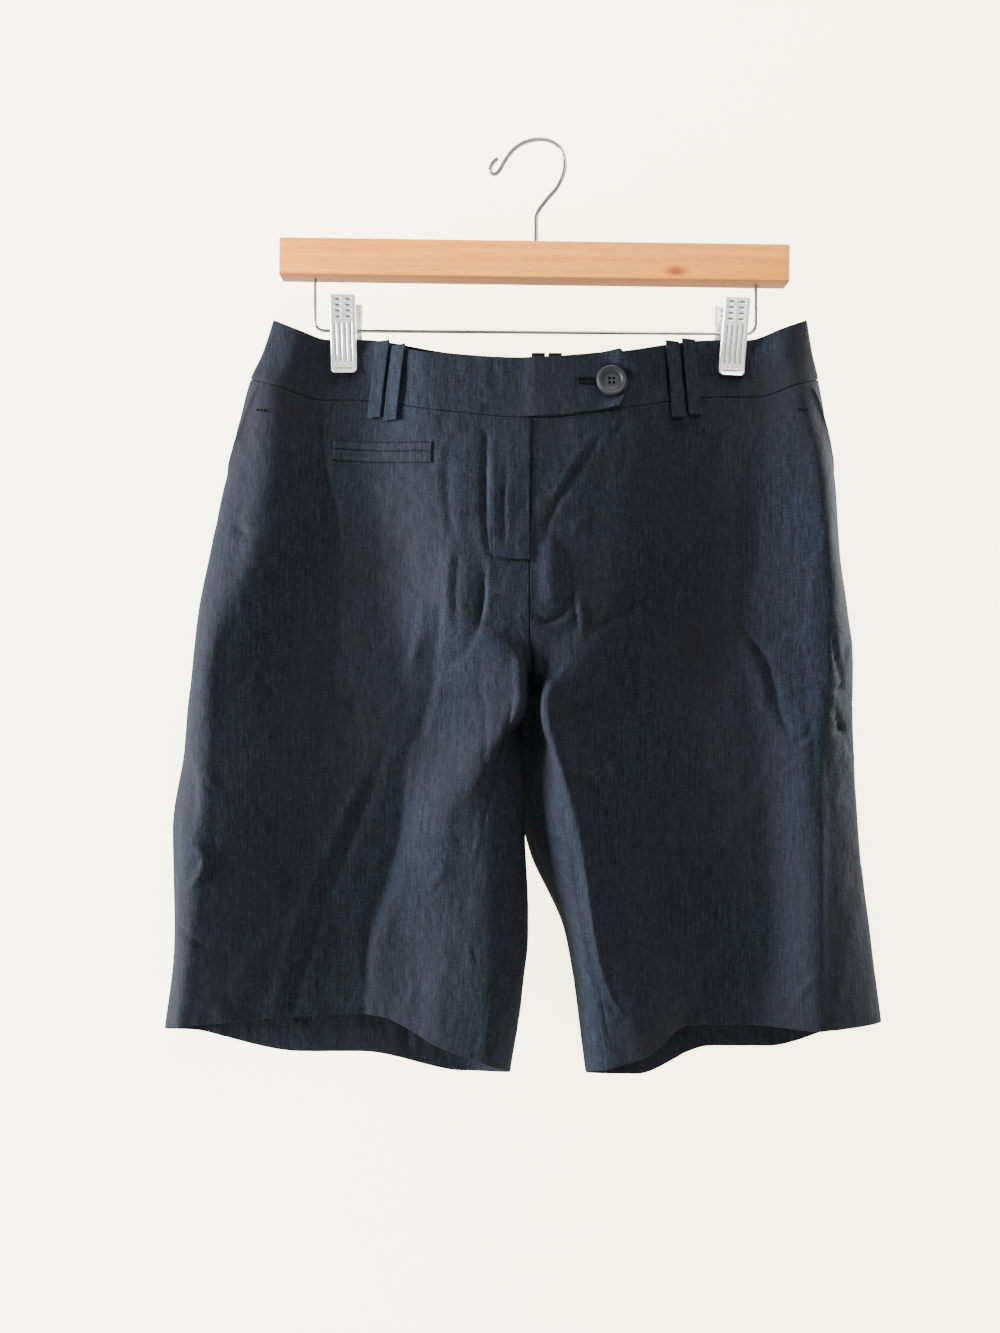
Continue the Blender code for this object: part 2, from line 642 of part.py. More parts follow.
def hanger_bar(collection):
    mesh = bpy.data.meshes.new("hanger_bar")
    shape = bmesh.new()
    bmesh.ops.create_cube(shape, size=1)
    size = Matrix.Diagonal((BAR_LENGTH * MM, BAR_THICKNESS * MM, BAR_HEIGHT * MM, 1))
    bmesh.ops.transform(shape, matrix=size, verts=shape.verts)
    shape.to_mesh(mesh)
    shape.free()
    bar = new_object("hanger_bar", mesh, "beech", collection)
    bar.location = Vector(BAR_CENTRE) * MM
    bar.rotation_euler = (0, HANGER_TILT, 0)
    bevel = bar.modifiers.new("Eased edges", "BEVEL")
    bevel.width = 0.8 * MM
    bevel.segments = 2


def bar_face(x, up):
    """Height of the bar's top (up = 1) or underside (up = -1) at this x."""
    centre_x, _, centre_z = BAR_CENTRE
    return centre_z - math.tan(HANGER_TILT) * (x - centre_x) + up * BAR_HEIGHT / 2 / math.cos(HANGER_TILT)


def smooth_path(points, steps):
    """A curve through the points, which turns evenly between them."""
    points = np.array(points, float)
    ends = np.vstack([2 * points[0] - points[1], points, 2 * points[-1] - points[-2]])
    path = []
    for a, b, c, d in zip(ends, ends[1:], ends[2:], ends[3:]):
        for share in np.arange(steps) / steps:
            path.append(
                0.5 * (2 * b + (c - a) * share + (2 * a - 5 * b + 4 * c - d) * share**2
                       + (3 * b - a - 3 * c + d) * share**3)
            )
    path.append(points[-1])
    return path


def wire(name, path, diameter, collection):
    """A round wire along a path of (x, z) points in the hanger's plane."""
    curve = bpy.data.curves.new(name, "CURVE")
    curve.dimensions = "3D"
    curve.bevel_depth = diameter / 2 * MM
    curve.bevel_resolution = 2
    curve.use_fill_caps = True
    spline = curve.splines.new("POLY")
    spline.points.add(len(path) - 1)
    for point, (x, z) in zip(spline.points, path):
        point.co = (x * MM, 0, z * MM, 1)
    return new_object(name, curve, "steel", collection)


def hanger_hook(collection):
    points = list(HOOK_POINTS)
    foot = points[0][0]
    points[0] = (foot, bar_face(foot, 1) + SEAM_GAP)
    wire("hanger_hook", smooth_path(points, 3), HOOK_WIRE, collection)


def hanger_wire(collection):
    """Down from the bar, across under the clips and up again, tilted as the bar is."""
    half = LOWER_WIRE_HALF_SPAN
    bend = LOWER_WIRE_BEND
    path = []
    for sign in (-1, 1):
        x = LOWER_WIRE_CENTRE + sign * half
        low = -wire_drop(x)
        corner = [(x, bar_face(x, -1) - SEAM_GAP)]
        for turn in np.linspace(0, math.pi / 2, 5):
            corner.append((x - sign * bend * (1 - math.cos(turn)), low + bend * (1 - math.sin(turn))))
        path += corner if sign < 0 else corner[::-1]
    wire("hanger_wire", path, LOWER_WIRE, collection)


def clip_plate(name, centre, lean, facing, wider, collection):
    """Half a clip: pressed steel, a shallow channel whose flanges reach in beside the wire."""
    vertices = []
    for drop, face, flange, width in PLATE_ROWS:
        outer = (width + wider) / 2
        inner = outer - CLIP_STEEL
        tip = face - flange
        back = face + CLIP_STEEL
        section = (
            (-outer, tip), (-outer, back), (outer, back), (outer, tip),
            (inner, tip), (inner, face), (-inner, face), (-inner, tip),
        )
        vertices += [Vector((x, y * facing, -drop)) * MM for x, y in section]
    size = 8
    faces = [tuple(range(size)), tuple(reversed(range(len(vertices) - size, len(vertices))))]
    for row in range(len(PLATE_ROWS) - 1):
        for corner in range(size):
            a = row * size + corner
            b = row * size + (corner + 1) % size
            faces.append((b, a, a + size, b + size))
    mesh = bpy.data.meshes.new(name)
    mesh.from_pydata(vertices, [], faces)
    if facing > 0:
        mesh.flip_normals()
    plate = new_object(name, mesh, "steel", collection)
    plate.location = (centre * MM, 0, -wire_drop(centre) * MM)
    plate.rotation_euler = (0, lean, 0)


def clips(collection):
    half = SPRING_LENGTH / 2
    section = (
        (SPRING_OUTER, half), (SPRING_OUTER, -half), (SPRING_INNER, -half), (SPRING_INNER, half),
        (SPRING_OUTER, half),
    )
    for name, centre, lean, ear_shift in CLIPS:
        clip_plate(f"{name}_front", centre, lean, -1, 0, collection)
        clip_plate(f"{name}_back", centre + ear_shift, lean, 1, BACK_PLATE_WIDER, collection)
        spring = turned(f"{name}_spring", section, "steel", collection, 12)
        spring.location = (centre * MM, 0, -wire_drop(centre) * MM)
        spring.rotation_euler = (0, math.pi / 2 + WIRE_TILT, 0)


def wire_drop(x):
    return LOWER_WIRE_DROP + math.tan(WIRE_TILT) * (x - LOWER_WIRE_CENTRE)


def main():
    for stale in list(bpy.data.objects):
        bpy.data.objects.remove(stale)
    shorts = bpy.data.collections.new("bermuda_shorts")
    cutters = bpy.data.collections.new("cutters")
    for made in (shorts, cutters):
        bpy.context.scene.collection.children.link(made)
    cutters.hide_render = True
    front_panels(shorts)
    back_panels(shorts)
    waistband(shorts)
    fly(shorts)
    welt_pocket(shorts)
    belt_loops(shorts)
    button(shorts, cutters)
    hanger_bar(shorts)
    hanger_hook(shorts)
    hanger_wire(shorts)
    clips(shorts)


main()
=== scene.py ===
"""Looks of the bermuda shorts on their clip hanger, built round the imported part.

Blender works in metres, and every table and size here is in millimetres. The origin is the
inside of the hook's crown, +Z is up and the front faces -Y. A drop is a distance below the
origin. The wearer's right leg is at -X, on the left of someone facing the front.
"""

import math

import bmesh
import bpy
import numpy as np
from mathutils import Matrix, Vector


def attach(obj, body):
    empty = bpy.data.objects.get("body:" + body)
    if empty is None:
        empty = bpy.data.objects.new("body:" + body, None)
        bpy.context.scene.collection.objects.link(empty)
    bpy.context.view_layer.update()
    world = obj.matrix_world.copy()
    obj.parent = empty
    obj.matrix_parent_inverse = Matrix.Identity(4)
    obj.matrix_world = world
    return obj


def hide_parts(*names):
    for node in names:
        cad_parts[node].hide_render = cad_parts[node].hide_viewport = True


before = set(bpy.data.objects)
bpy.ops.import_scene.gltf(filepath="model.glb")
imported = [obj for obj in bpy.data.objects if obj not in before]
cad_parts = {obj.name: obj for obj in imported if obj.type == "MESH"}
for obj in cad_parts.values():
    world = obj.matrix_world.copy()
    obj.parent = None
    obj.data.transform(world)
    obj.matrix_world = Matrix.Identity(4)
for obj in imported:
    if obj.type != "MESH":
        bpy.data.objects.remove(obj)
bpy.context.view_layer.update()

MM = 0.001
BODY = "root"

# The shape of the shorts, as in the part's own source
CLOTH_THICKNESS = 1.2
HALF_GAP = 0.2
HALF_INSEAM_GAP = 0.03
LAY_GAP = 0.45

BAND_TOP = 140
JAW_FOOT = 167
WAIST_SEAM = 185
POCKET_FOOT = 235
CROTCH = 388
HEM = 625

SIGN = {"right": -1, "left": 1}
OTHER = {"right": "left", "left": "right"}

# Columns: drop, centre, inner, valley, half of the valley's width, outer, side
FRONT_ROWS = {
    "right": (
        (BAND_TOP, (-4, -27), (-74, -22), (-136, -1), 10, (-167, -6), (-184, 0)),
        (JAW_FOOT, (-4, -28), (-70, -24), (-136, -1), 10, (-173, -9), (-192, 0)),
        (WAIST_SEAM, (-5, -30), (-67, -26), (-138, -5), 11, (-180, -13), (-200, 0)),
        (POCKET_FOOT, (-6, -36), (-56, -32), (-138, -13), 12, (-183, -22), (-215, -3)),
        (285, (-7, -39), (-46, -37), (-125, -14), 12, (-191, -27), (-225, -4)),
        (330, (-7, -40), (-40, -39), (-123, -14), 13, (-209, -30), (-234, -4)),
        (365, (-7, -30), (-15, -40), (-117, -14), 14, (-218, -30), (-238, -4)),
        (CROTCH, (-7, -6), (-14, -37), (-112, -14), 14, (-219, -30), (-241, -4)),
        (420, (-23, -22), (-31, -36), (-103, -14), 14, (-219, -30), (-244, -4)),
        (480, (-36, -33), (-57, -31), (-114, -12), 16, (-222, -29), (-253, -3)),
        (550, (-36, -32), (-60, -28), (-121, -10), 16, (-232, -26), (-252, -2)),
        (HEM, (-37, -30), (-67, -27), (-126, -10), 14, (-243, -20), (-259, -2)),
    ),
    "left": (
        (BAND_TOP, (-4, -27), (48, -22), (135, -1), 11, (170, -6), (187, 0)),
        (JAW_FOOT, (-4, -28), (51, -24), (135, -1), 11, (172, -9), (191, 0)),
        (WAIST_SEAM, (-5, -30), (54, -26), (140, -5), 11, (175, -13), (195, 0)),
        (POCKET_FOOT, (-6, -36), (50, -32), (137, -13), 14, (188, -20), (205, -3)),
        (285, (-7, -39), (46, -35), (133, -14), 15, (190, -25), (208, -4)),
        (330, (-7, -40), (40, -37), (116, -14), 18, (192, -27), (214, -4)),
        (365, (-7, -30), (20, -39), (118, -14), 18, (190, -27), (217, -4)),
        (CROTCH, (-1, -6), (5, -38), (122, -14), 18, (188, -27), (217, -4)),
        (420, (1, -20), (12, -37), (129, -14), 18, (183, -27), (218, -4)),
        (480, (18, -33), (26, -36), (135, -12), 18, (182, -27), (221, -3)),
        (550, (30, -33), (40, -36), (141, -11), 16, (182, -27), (230, -2)),
        (HEM, (48, -34), (67, -35), (125, -14), 20, (185, -27), (238, -2)),
    ),
}
# Columns: drop, outer, valley, half of the valley's width, inner, roll, centre
BACK_ROWS = {
    "right": (
        (BAND_TOP, (-167, 6), (-136, 1), 10, (-60, 9), (-20, 12), (7, 12)),
        (JAW_FOOT, (-172, 7), (-136, 1), 10, (-60, 11), (-20, 13), (7, 13)),
        (WAIST_SEAM, (-178, 9), (-137, 5), 11, (-60, 12), (-20, 14), (7, 14)),
        (POCKET_FOOT, (-190, 12), (-135, 9), 14, (-60, 13), (-20, 14), (5, 14)),
        (330, (-210, 13), (-135, 9), 16, (-55, 13), (-20, 14), (1, 14)),
        (365, (-213, 12), (-135, 9), 18, (-50, 13), (-16, 11), (-1, 5)),
        (CROTCH, (-215, 12), (-134, 9), 18, (-47, 13), (-11, 5), (-7, -6)),
        (420, (-218, 12), (-134, 9), 18, (-45, 12), (-12, -6), (-23, -22)),
        (480, (-226, 12), (-138, 9), 20, (-46, 12), (-9, -12), (-36, -33)),
        (550, (-228, 11), (-140, 9), 20, (-48, 12), (-8, -12), (-36, -32)),
        (HEM, (-236, 10), (-145, 9), 20, (-52, 10), (-20, -15), (-37, -30)),
    ),
    "left": (
        (BAND_TOP, (170, 6), (135, 1), 11, (62, 9), (30, 12), (7, 12)),
        (JAW_FOOT, (172, 7), (135, 1), 11, (62, 11), (31, 13), (7, 13)),
        (WAIST_SEAM, (176, 9), (138, 5), 11, (62, 12), (32, 13), (7, 14)),
        (POCKET_FOOT, (187, 12), (136, 9), 14, (62, 13), (30, 14), (5, 14)),
        (330, (192, 13), (134, 9), 16, (58, 13), (22, 14), (1, 14)),
        (365, (194, 12), (134, 9), 18, (52, 13), (9, 12), (-1, 5)),
        (CROTCH, (195, 12), (134, 9), 18, (46, 13), (-9, 9), (-1, -6)),
        (420, (196, 12), (134, 9), 18, (44, 12), (-15, 5), (1, -20)),
        (480, (200, 12), (136, 9), 20, (42, 12), (-10, 5), (18, -33)),
        (550, (207, 11), (138, 9), 20, (52, 11), (19, -8), (30, -33)),
        (HEM, (214, 10), (142, 9), 20, (70, 9), (32, -20), (48, -34)),
    ),
}
# Columns: drop; centre, inner, valley, outer and side of the front; outer, valley, inner, roll
# and centre of the back
RISE_ROWS = {
    "right": (
        (BAND_TOP, -19, -14, 1, 7, 15, 10, 2, -5, -7, -8),
        (WAIST_SEAM, -15, -9, 3, 11, 19, 14, 6, -3, -5, -6),
        (POCKET_FOOT, 0, 0, 0, 0, 0, 0, 0, 0, 0, 0),
        (550, 0, 0, 0, 0, 0, 0, 0, 0, 0, 0),
        (HEM, -7, 3, 19, 14, 7, 1, -13, -27, -18, -7),
    ),
    "left": (
        (BAND_TOP, -19, -14, 1, 8, 15, 10, 1, -5, -7, -8),
        (WAIST_SEAM, -15, -8, 5, 11, 19, 14, 6, -3, -5, -6),
        (POCKET_FOOT, 0, 0, 0, 0, 0, 0, 0, 0, 0, 0),
        (550, 0, 0, 0, 0, 0, 0, 0, 0, 0, 0),
        (HEM, -8, -2, 14, 14, 12, 5, -9, -29, -16, -8),
    ),
}

# Steps of the fine mesh, between the same lines and levels as in the part
FRONT_STEPS = (24, 32, 12, 38, 16)
BACK_STEPS = (16, 30, 12, 36, 20, 16)
BAND_STEPS = (13, 9)
LEG_STEPS = (24, 24, 21, 17, 11, 15, 28, 33, 36)
FACING_STEPS = 8
TAB_STEPS = 30

HEM_DEPTH = 30
HEM_EXTRA = 0.5
ALLOWANCE_DEPTH = 0.9
ALLOWANCE_THICKNESS = 0.4

POCKET_MOUTH = ((WAIST_SEAM, 0.45), (202, 0.63), (218.5, 0.82), (POCKET_FOOT, 1.0))
FACING_FOOT = 232
FACING_DEPTH = 0.9
# How far the mouth's edge and the columns beside it stand out
MOUTH_LIFT = (1.3, 0.9, 0.35, 0.1)

# Columns: drop, x of the tab's pointed end
TAB_END = ((BAND_TOP, 53), (158, 64), (WAIST_SEAM, 53))
TAB_LIFT = 1.8
TAB_RAMP = 9
TAB_END_LIFT = 4.4
UNDERLAP_START = -2

LOOP_WIDTH = 9.6
LOOP_THICKNESS = 1.4
LOOP_ABOVE = {"front": 1.5, "back": 4.6}
LOOP_BELOW_SEAM = 13
LOOP_ROWS = 30
LOOP_STAND = (0.0, 0.3, 0.7, 0.9, 0.9, 0.7, 0.3, 0.0)
# Columns: name, face, x at the top, x at the foot
LOOPS = (
    ("belt_loop_1", "front", -106.0, -112.0),
    ("belt_loop_2", "front", -94.5, -100.4),
    ("belt_loop_3", "front", 91.0, 94.0),
    ("belt_loop_4", "front", 103.0, 106.4),
    ("belt_loop_5", "back", 0.8, 0.8),
    ("belt_loop_6", "back", 12.7, 12.7),
)

WELT_LEFT = -141
WELT_RIGHT = -72
WELT_FALL = math.tan(math.radians(4)) * (WELT_RIGHT - WELT_LEFT)
WELT_THICKNESS = 1.0
WELT_MARGIN = 0.75
WELT_BACKING = 0.5
WELT_SUNK = 0.35
# Columns: name, drop of its top edge, drop of its foot
WELTS = (("welt_upper", 211.5, 216.8), ("welt_lower", 217.4, 224.6))

FLY_INNER = -6.6
FLY_OUTER = -31
FLY_TOP = 202
FLY_FOOT = 296
FLY_THICKNESS = 1.0
FLY_SUNK = 0.3
ZIP_FOOT = 288
ZIP_HALF_WIDTH = 8
ZIP_CENTRE = -6.1
ZIP_THICKNESS = 1.0

BUTTON_X = 47.8
BUTTON_DROP = 175.2

# Stations along a thread: share of its length, size, and rise as a share of its thickness
THREAD_STATIONS = ((0.08, 0.3, -0.5), (0.3, 0.9, 0), (0.5, 1, 0.1), (0.7, 0.9, 0), (0.92, 0.3, -0.5))
THREAD_SIDES = 6
BUTTONHOLE_START = 26.2
BUTTONHOLE_PITCH = 0.62
BUTTONHOLE_THREADS = 20

BAR_SIZE = (353, 14, 26)
BAR_CENTRE = (-2.7, 0, -85)
BAR_EDGE = 0.9
HANGER_TILT = math.radians(0.8)
KNOT_PLACE = (0.098, 0.0, -0.0066)
KNOT_SIZE = (0.0085, 0.0042)

HOOK_WIRE = 2.8
HOOK_POINTS = (
    (-1.4, -71.6), (-1.3, -60), (-0.6, -50.5), (5.5, -41.5), (13.4, -32), (18.2, -21.5), (18.4, -12),
    (15.2, -4.4), (9.2, 0.2), (0, 1.4), (-9.6, -0.9), (-17.6, -6.4), (-23, -13.6), (-26.6, -20),
    (-30, -22.9), (-33.2, -20.6), (-32, -15.6), (-28.2, -12),
)
WIRE_IN_BAR = 2
LOWER_WIRE = 2.2
LOWER_WIRE_HALF_SPAN = 153.7
LOWER_WIRE_CENTRE = -1.7
LOWER_WIRE_DROP = 133.2
LOWER_WIRE_BEND = 7
WIRE_TILT = math.radians(0.4)

CLIP_STEEL = 0.9
# Columns: name, x, lean, how far the back plate is shifted sideways
CLIPS = (
    ("clip_right", -135.0, 0.0, 1.2),
    ("clip_left", 136.0, math.radians(3.0), -1.2),
)
# Columns: drop below the wire, distance of the plate's inner face from the middle, depth of the
# flanges bent back along its sides
PLATE_ROWS = (
    (-22, 9.4, 0.4), (-20.5, 9.3, 1.0), (-8, 7.6, 1.0), (-6, 7.2, 5.75), (2.4, 6.0, 4.55), (3.6, 5.7, 0.8),
    (12, 3.4, 0.6), (17, 2.2, 0.3), (26.5, 2.2, 0.3), (29, 3.2, 0.3), (30.2, 4.0, 0.3),
)
PLATE_WIDTH = 18
# The rows of the plate's fine mesh. Columns: first, last, number
PLATE_SPANS = (
    (-22, -20.5, 4), (-20, -8, 33), (-7.6, -6, 4), (-5.5, 2.4, 17), (2.8, 3.6, 3), (4, 26.5, 58),
    (26.9, 30.2, 9),
)
PLATE_COLUMNS = 43
PLATE_FOOT_ROUND = 3.4
BACK_PLATE_WIDER = 3.0
DENT_COLUMNS = (-3.6, 3.6)
DENT_DROPS = (-19.0, -15.2, -11.4, -7.6)
DENT_DEPTH = 0.95
GROOVE_PLACES = (-5.4, -1.8, 1.8, 5.4)
GROOVE_DEPTH = 0.6
TOOTH_DEPTH = 0.5
LIP_DEPTH = 0.8
SPRING_INNER = 1.4
SPRING_OUTER = 2.3
SPRING_LENGTH = 12
SPRING_TURNS = 11

# Distance from a piece's edge, and the share of its thickness there, which rounds the edge
EDGE_ROUND = ((0.0, 0.35), (0.22, 0.78), (0.6, 0.96), (1.2, 1.0))
EDGE_REACH = 0.8

INDIGO = (0.0154, 0.0213, 0.0322)
INDIGO_DEEP = (0.0021, 0.0027, 0.0043)
WEFT_GREY = (0.042, 0.050, 0.069)
PLUM = (0.0118, 0.0096, 0.0145)
# Painted shade, mixed into the steel where it is pressed in
PAINTED_GROOVE_SHADE = (0.10, 0.10, 0.097)

WALL_Y = 0.034
FLOOR_Z = -0.93
ROOM_HALF = 3
ROOM_TOP = 2.2
WORLD_COLOUR = (0.95, 0.93, 0.89)
WORLD_LIGHT = 0.13
WORLD_SEEN = 0.9
WALL_GLOW = 5.4
GLOW_CAST = 0.2
# The backdrop's glow is painted paler on the left and dimmer and warmer on the right, as light falling from
# the left would leave it
GLOW_LEFT = (1.0, 0.965, 0.68)
GLOW_RIGHT = (0.88, 0.82, 0.50)
WARM = (1.0, 0.97, 0.93)
COOL = (0.90, 0.95, 1.0)
# Columns: name, place in metres, size, power, colour
LIGHTS = (
    ("window", (-8.0, -1.45, -0.1), (2.2, 4.0), 4400, (0.88, 0.94, 1.0)),
    ("fill", (0.5, -1.3, 0.95), (1.0, 1.0), 25, WARM),
    ("ceiling", (0.7, -0.6, 2.5), (1.2, 0.6), 70, WARM),
    ("back_side", (2.6, 0.95, 0.2), (0.8, 1.2), 190, COOL),
    ("back_fill", (-0.6, 1.8, 0.9), (1.8, 1.8), 16, COOL),
)
LIT_PLACE = (0, 0, -0.35)
CAMERA_PLACE = (-0.0265, -0.700, -0.3663)
CAMERA_LENS = 27.1

# Where the jaws press the cloth flat: the drop of its middle, and half its width and height
JAW_DROP = 152
JAW_REACH = (17, 30)
# The part of the front and the back on which pieces are laid: x, then drop
FACE_X = np.arange(-180.0, 180.0)
FACE_DROPS = np.arange(125.0, 380.0)

# How far from a seam the front's creases give way to the back's
SEAM_BLEND = 9
# Small creases spread over each face, from fixed seeds
SMALL = {"count": 330, "lengths": (10, 45), "widths": (2.2, 5.0), "heights": (0.15, 0.65), "upright": 0.5}
BROAD = {"count": 60, "lengths": (50, 150), "widths": (9, 22), "heights": (0.3, 1.1), "upright": 0.35}

# Creases of the front and the back. Columns: height (a trough is negative), width towards -X,
# width towards +X, sharpness from 0 to 1, and the points (x, drop) from its top to its foot
FRONT_CREASES = (
    (-3.2, 4.5, 3.0, 0.6, ((-36, 200), (-36.5, 240), (-36, 275), (-34, 296))),
    (1.2, 2.5, 3.0, 0.5, ((-31.0, 205), (-31.0, 245), (-30.5, 286))),
    (-2.6, 2.6, 2.4, 0.8, ((-22, 232), (-24, 260), (-23, 286))),
    (-2.2, 16.0, 3.5, 0.7, ((-151, 184), (-150, 208), (-146, 232), (-139, 260), (-131, 300))),
    (0.9, 2.0, 3.0, 0.5, ((-20, 238), (-21, 262), (-20, 282))),
    (-3.1, 3.4, 5.0, 0.85, ((42, 209), (29, 229), (17, 247), (6, 268), (3, 282))),
    (1.3, 6.0, 5.0, 0.2, ((34, 214), (18, 240), (10, 262))),
    (-1.2, 3.0, 4.0, 0.6, ((58, 199), (52, 208), (47, 216))),
    (3.1, 11.0, 11.0, 0.1, ((7, 282), (7, 305), (8, 326))),
    (-3.2, 5.0, 4.0, 0.8, ((-6, 330), (5, 336), (17, 329), (22, 318))),
    (-2.3, 4.0, 3.5, 0.8, ((20, 306), (22, 322), (25, 343))),
    (2.0, 3.5, 4.0, 0.6, ((24, 318), (27, 334), (28, 348))),
    (-1.8, 5.0, 6.0, 0.6, ((84, 317), (58, 330), (38, 340), (30, 352))),
    (2.0, 7.0, 6.0, 0.3, ((-77, 318), (-80, 345), (-90, 380))),
    (-2.6, 3.4, 3.2, 0.8, ((-35.5, 298), (-37.5, 322), (-40.5, 338), (-45.5, 350), (-54, 360), (-64, 370))),
    (-2.4, 17.0, 4.0, 0.5, ((-37, 296), (-38.5, 325), (-43, 342), (-50, 352))),
    (-1.5, 2.2, 2.4, 0.8, ((-54, 290), (-56.5, 308), (-56.5, 331), (-54, 356))),
    (2.2, 12.0, 5.0, 0.6, ((-57, 278), (-60, 310), (-59, 347))),
    (-2.6, 2.8, 2.8, 0.85, ((-66, 318), (-67.5, 333), (-68.5, 346), (-72, 358))),
    (-3.0, 16.0, 3.5, 0.6, ((-68, 342), (-69.5, 368), (-74, 392), (-80, 418))),
    (-1.6, 2.6, 3.0, 0.8, ((-40, 346), (-40, 380), (-36.5, 397), (-36, 455))),
    (-2.4, 3.4, 3.0, 0.85, ((-15.5, 376), (-21.5, 408), (-31, 447), (-38, 475))),
    (2.6, 7.0, 6.0, 0.2, ((-13, 352), (-12.5, 375), (-13.5, 396), (-16, 418))),
    (3.0, 6.0, 8.0, 0.3, ((8, 362), (5, 384), (5, 404), (8, 420))),
    (-0.9, 1.8, 1.8, 0.8, ((40, 575), (41, 590), (44, 604), (48, 622))),
    (0.9, 3.0, 3.0, 0.7, ((34, 585), (42, 583), (50, 586))),
    (-0.9, 3.0, 3.0, 0.7, ((37, 593), (45, 591), (52, 594))),
    (0.8, 3.0, 3.0, 0.7, ((39, 601), (46, 600), (54, 602))),
    (-1.6, 6.0, 6.0, 0.3, ((-60, 215), (-62, 245), (-57, 285))),
    (-4.5, 46.0, 6.5, 0.7, ((-88, 418), (-92, 455), (-97, 490), (-108, 528), (-118, 565), (-118, 650))),
    (3.6, 13.0, 34.0, 0.1, ((-74, 418), (-78, 455), (-83, 490), (-94, 528), (-104, 565), (-104, 650))),
    (2.2, 26.0, 14.0, 0.3, ((193, 200), (194, 260), (196, 330), (196, 420))),
    (-2.0, 16.0, 18.0, 0.2, ((150, 210), (147, 280), (140, 345))),
    (
        3.0, 12.0, 22.0, 0.2,
        ((-205, 190), (-214, 235), (-222, 290), (-228, 345), (-231, 410), (-238, 500), (-246, 640)),
    ),
    (-2.9, 10.0, 12.0, 0.3, ((-102, 420), (-130, 480), (-155, 535), (-172, 600), (-178, 640))),
    (2.1, 12.0, 10.0, 0.2, ((-120, 440), (-150, 515), (-172, 570), (-186, 625))),
    (-2.1, 5.0, 7.0, 0.5, ((-206, 271), (-196, 279))),
    (-3.1, 14.0, 8.0, 0.3, ((-234, 425), (-232, 450), (-233, 476))),
    (2.6, 5.0, 5.0, 0.7, ((-242, 482), (-228, 486), (-224, 500), (-236, 520))),
    (-4.4, 2.6, 2.6, 0.5, ((-6, 348), (-5.5, 366), (-5, 392))),
    (-2.3, 4.0, 6.0, 0.6, ((-246, 540), (-238, 545), (-225, 556))),
    (2.8, 12.0, 7.0, 0.7, ((190, 400), (189, 460), (188, 540), (190, 655))),
    (-3.8, 7.0, 5.0, 0.6, ((136, 332), (146, 349), (154, 361), (160, 380), (163, 396), (170, 415))),
    (-1.1, 5.0, 4.0, 0.6, ((184, 401), (179, 414), (170, 420), (157, 423))),
    (1.8, 9.0, 5.0, 0.3, ((139, 350), (149, 370), (155, 398))),
    (-2.6, 3.0, 4.0, 0.7, ((196, 340), (199, 362), (206, 382))),
    (-2.6, 3.0, 4.0, 0.7, ((198, 392), (202, 404), (210, 414))),
    (3.1, 8.0, 6.0, 0.7, ((2, 387), (11, 423), (23, 460), (30, 498), (35, 535), (43, 573), (56, 600))),
    (-2.0, 6.0, 8.0, 0.3, ((24, 420), (42, 470), (52, 530), (60, 590))),
    (-2.1, 4.0, 5.0, 0.7, ((208, 378), (196, 384))),
    (-2.0, 4.0, 5.0, 0.7, ((208, 407), (197, 411))),
)
BAND_CREASES = (
    (-0.6, 2.5, 2.5, 0.5, ((-42, 150), (-42, 190))),
    (-0.5, 2.0, 2.5, 0.5, ((-30, 148), (-29, 192))),
    (0.6, 2.0, 2.0, 0.5, ((-36, 150), (-35, 195))),
    (-0.7, 1.8, 2.2, 0.6, ((-22, 155), (-21, 202))),
    (-0.8, 1.6, 1.6, 0.7, ((-5.5, 158), (-5.5, 204))),
    (-1.6, 3.0, 4.0, 0.6, ((84, 158), (79, 172), (74, 190))),
    (1.9, 3.0, 3.0, 0.5, ((78, 154), (73, 168), (68, 190))),
    (1.6, 2.6, 3.0, 0.5, ((90, 158), (86, 170), (83, 190))),
)
BACK_CREASES = (
    (-2.3, 5.0, 6.0, 0.6, ((-30, 240), (-12, 275), (2, 300))),
    (-2.3, 6.0, 5.0, 0.6, ((42, 235), (22, 270), (6, 298))),
    (2.9, 12.0, 10.0, 0.2, ((-58, 260), (-62, 320), (-72, 380))),
    (-2.9, 7.0, 6.0, 0.6, ((-40, 330), (-55, 360), (-80, 385))),
    (-2.6, 6.0, 7.0, 0.6, ((40, 335), (60, 362), (88, 380))),
    (2.3, 6.0, 8.0, 0.4, ((30, 320), (52, 350), (80, 366))),
    (3.1, 6.0, 9.0, 0.7, ((-60, 430), (-70, 490), (-88, 560), (-92, 640))),
    (-2.6, 8.0, 10.0, 0.4, ((-100, 420), (-112, 500), (-118, 600))),
    (2.3, 9.0, 7.0, 0.3, ((-180, 300), (-186, 420), (-176, 520))),
    (-2.2, 5.0, 6.0, 0.6, ((-200, 430), (-182, 448), (-170, 472))),
    (2.9, 8.0, 6.0, 0.7, ((70, 430), (84, 500), (96, 570), (104, 650))),
    (-2.6, 9.0, 8.0, 0.4, ((120, 400), (130, 480), (126, 590))),
    (2.1, 8.0, 8.0, 0.3, ((170, 290), (178, 400), (186, 520))),
    (-2.1, 5.0, 5.0, 0.6, ((198, 470), (180, 492), (168, 520))),
    (-2.0, 6.0, 5.0, 0.5, ((-150, 250), (-128, 272), (-118, 300))),
    (-1.8, 5.0, 6.0, 0.5, ((150, 246), (128, 266), (110, 300))),
)


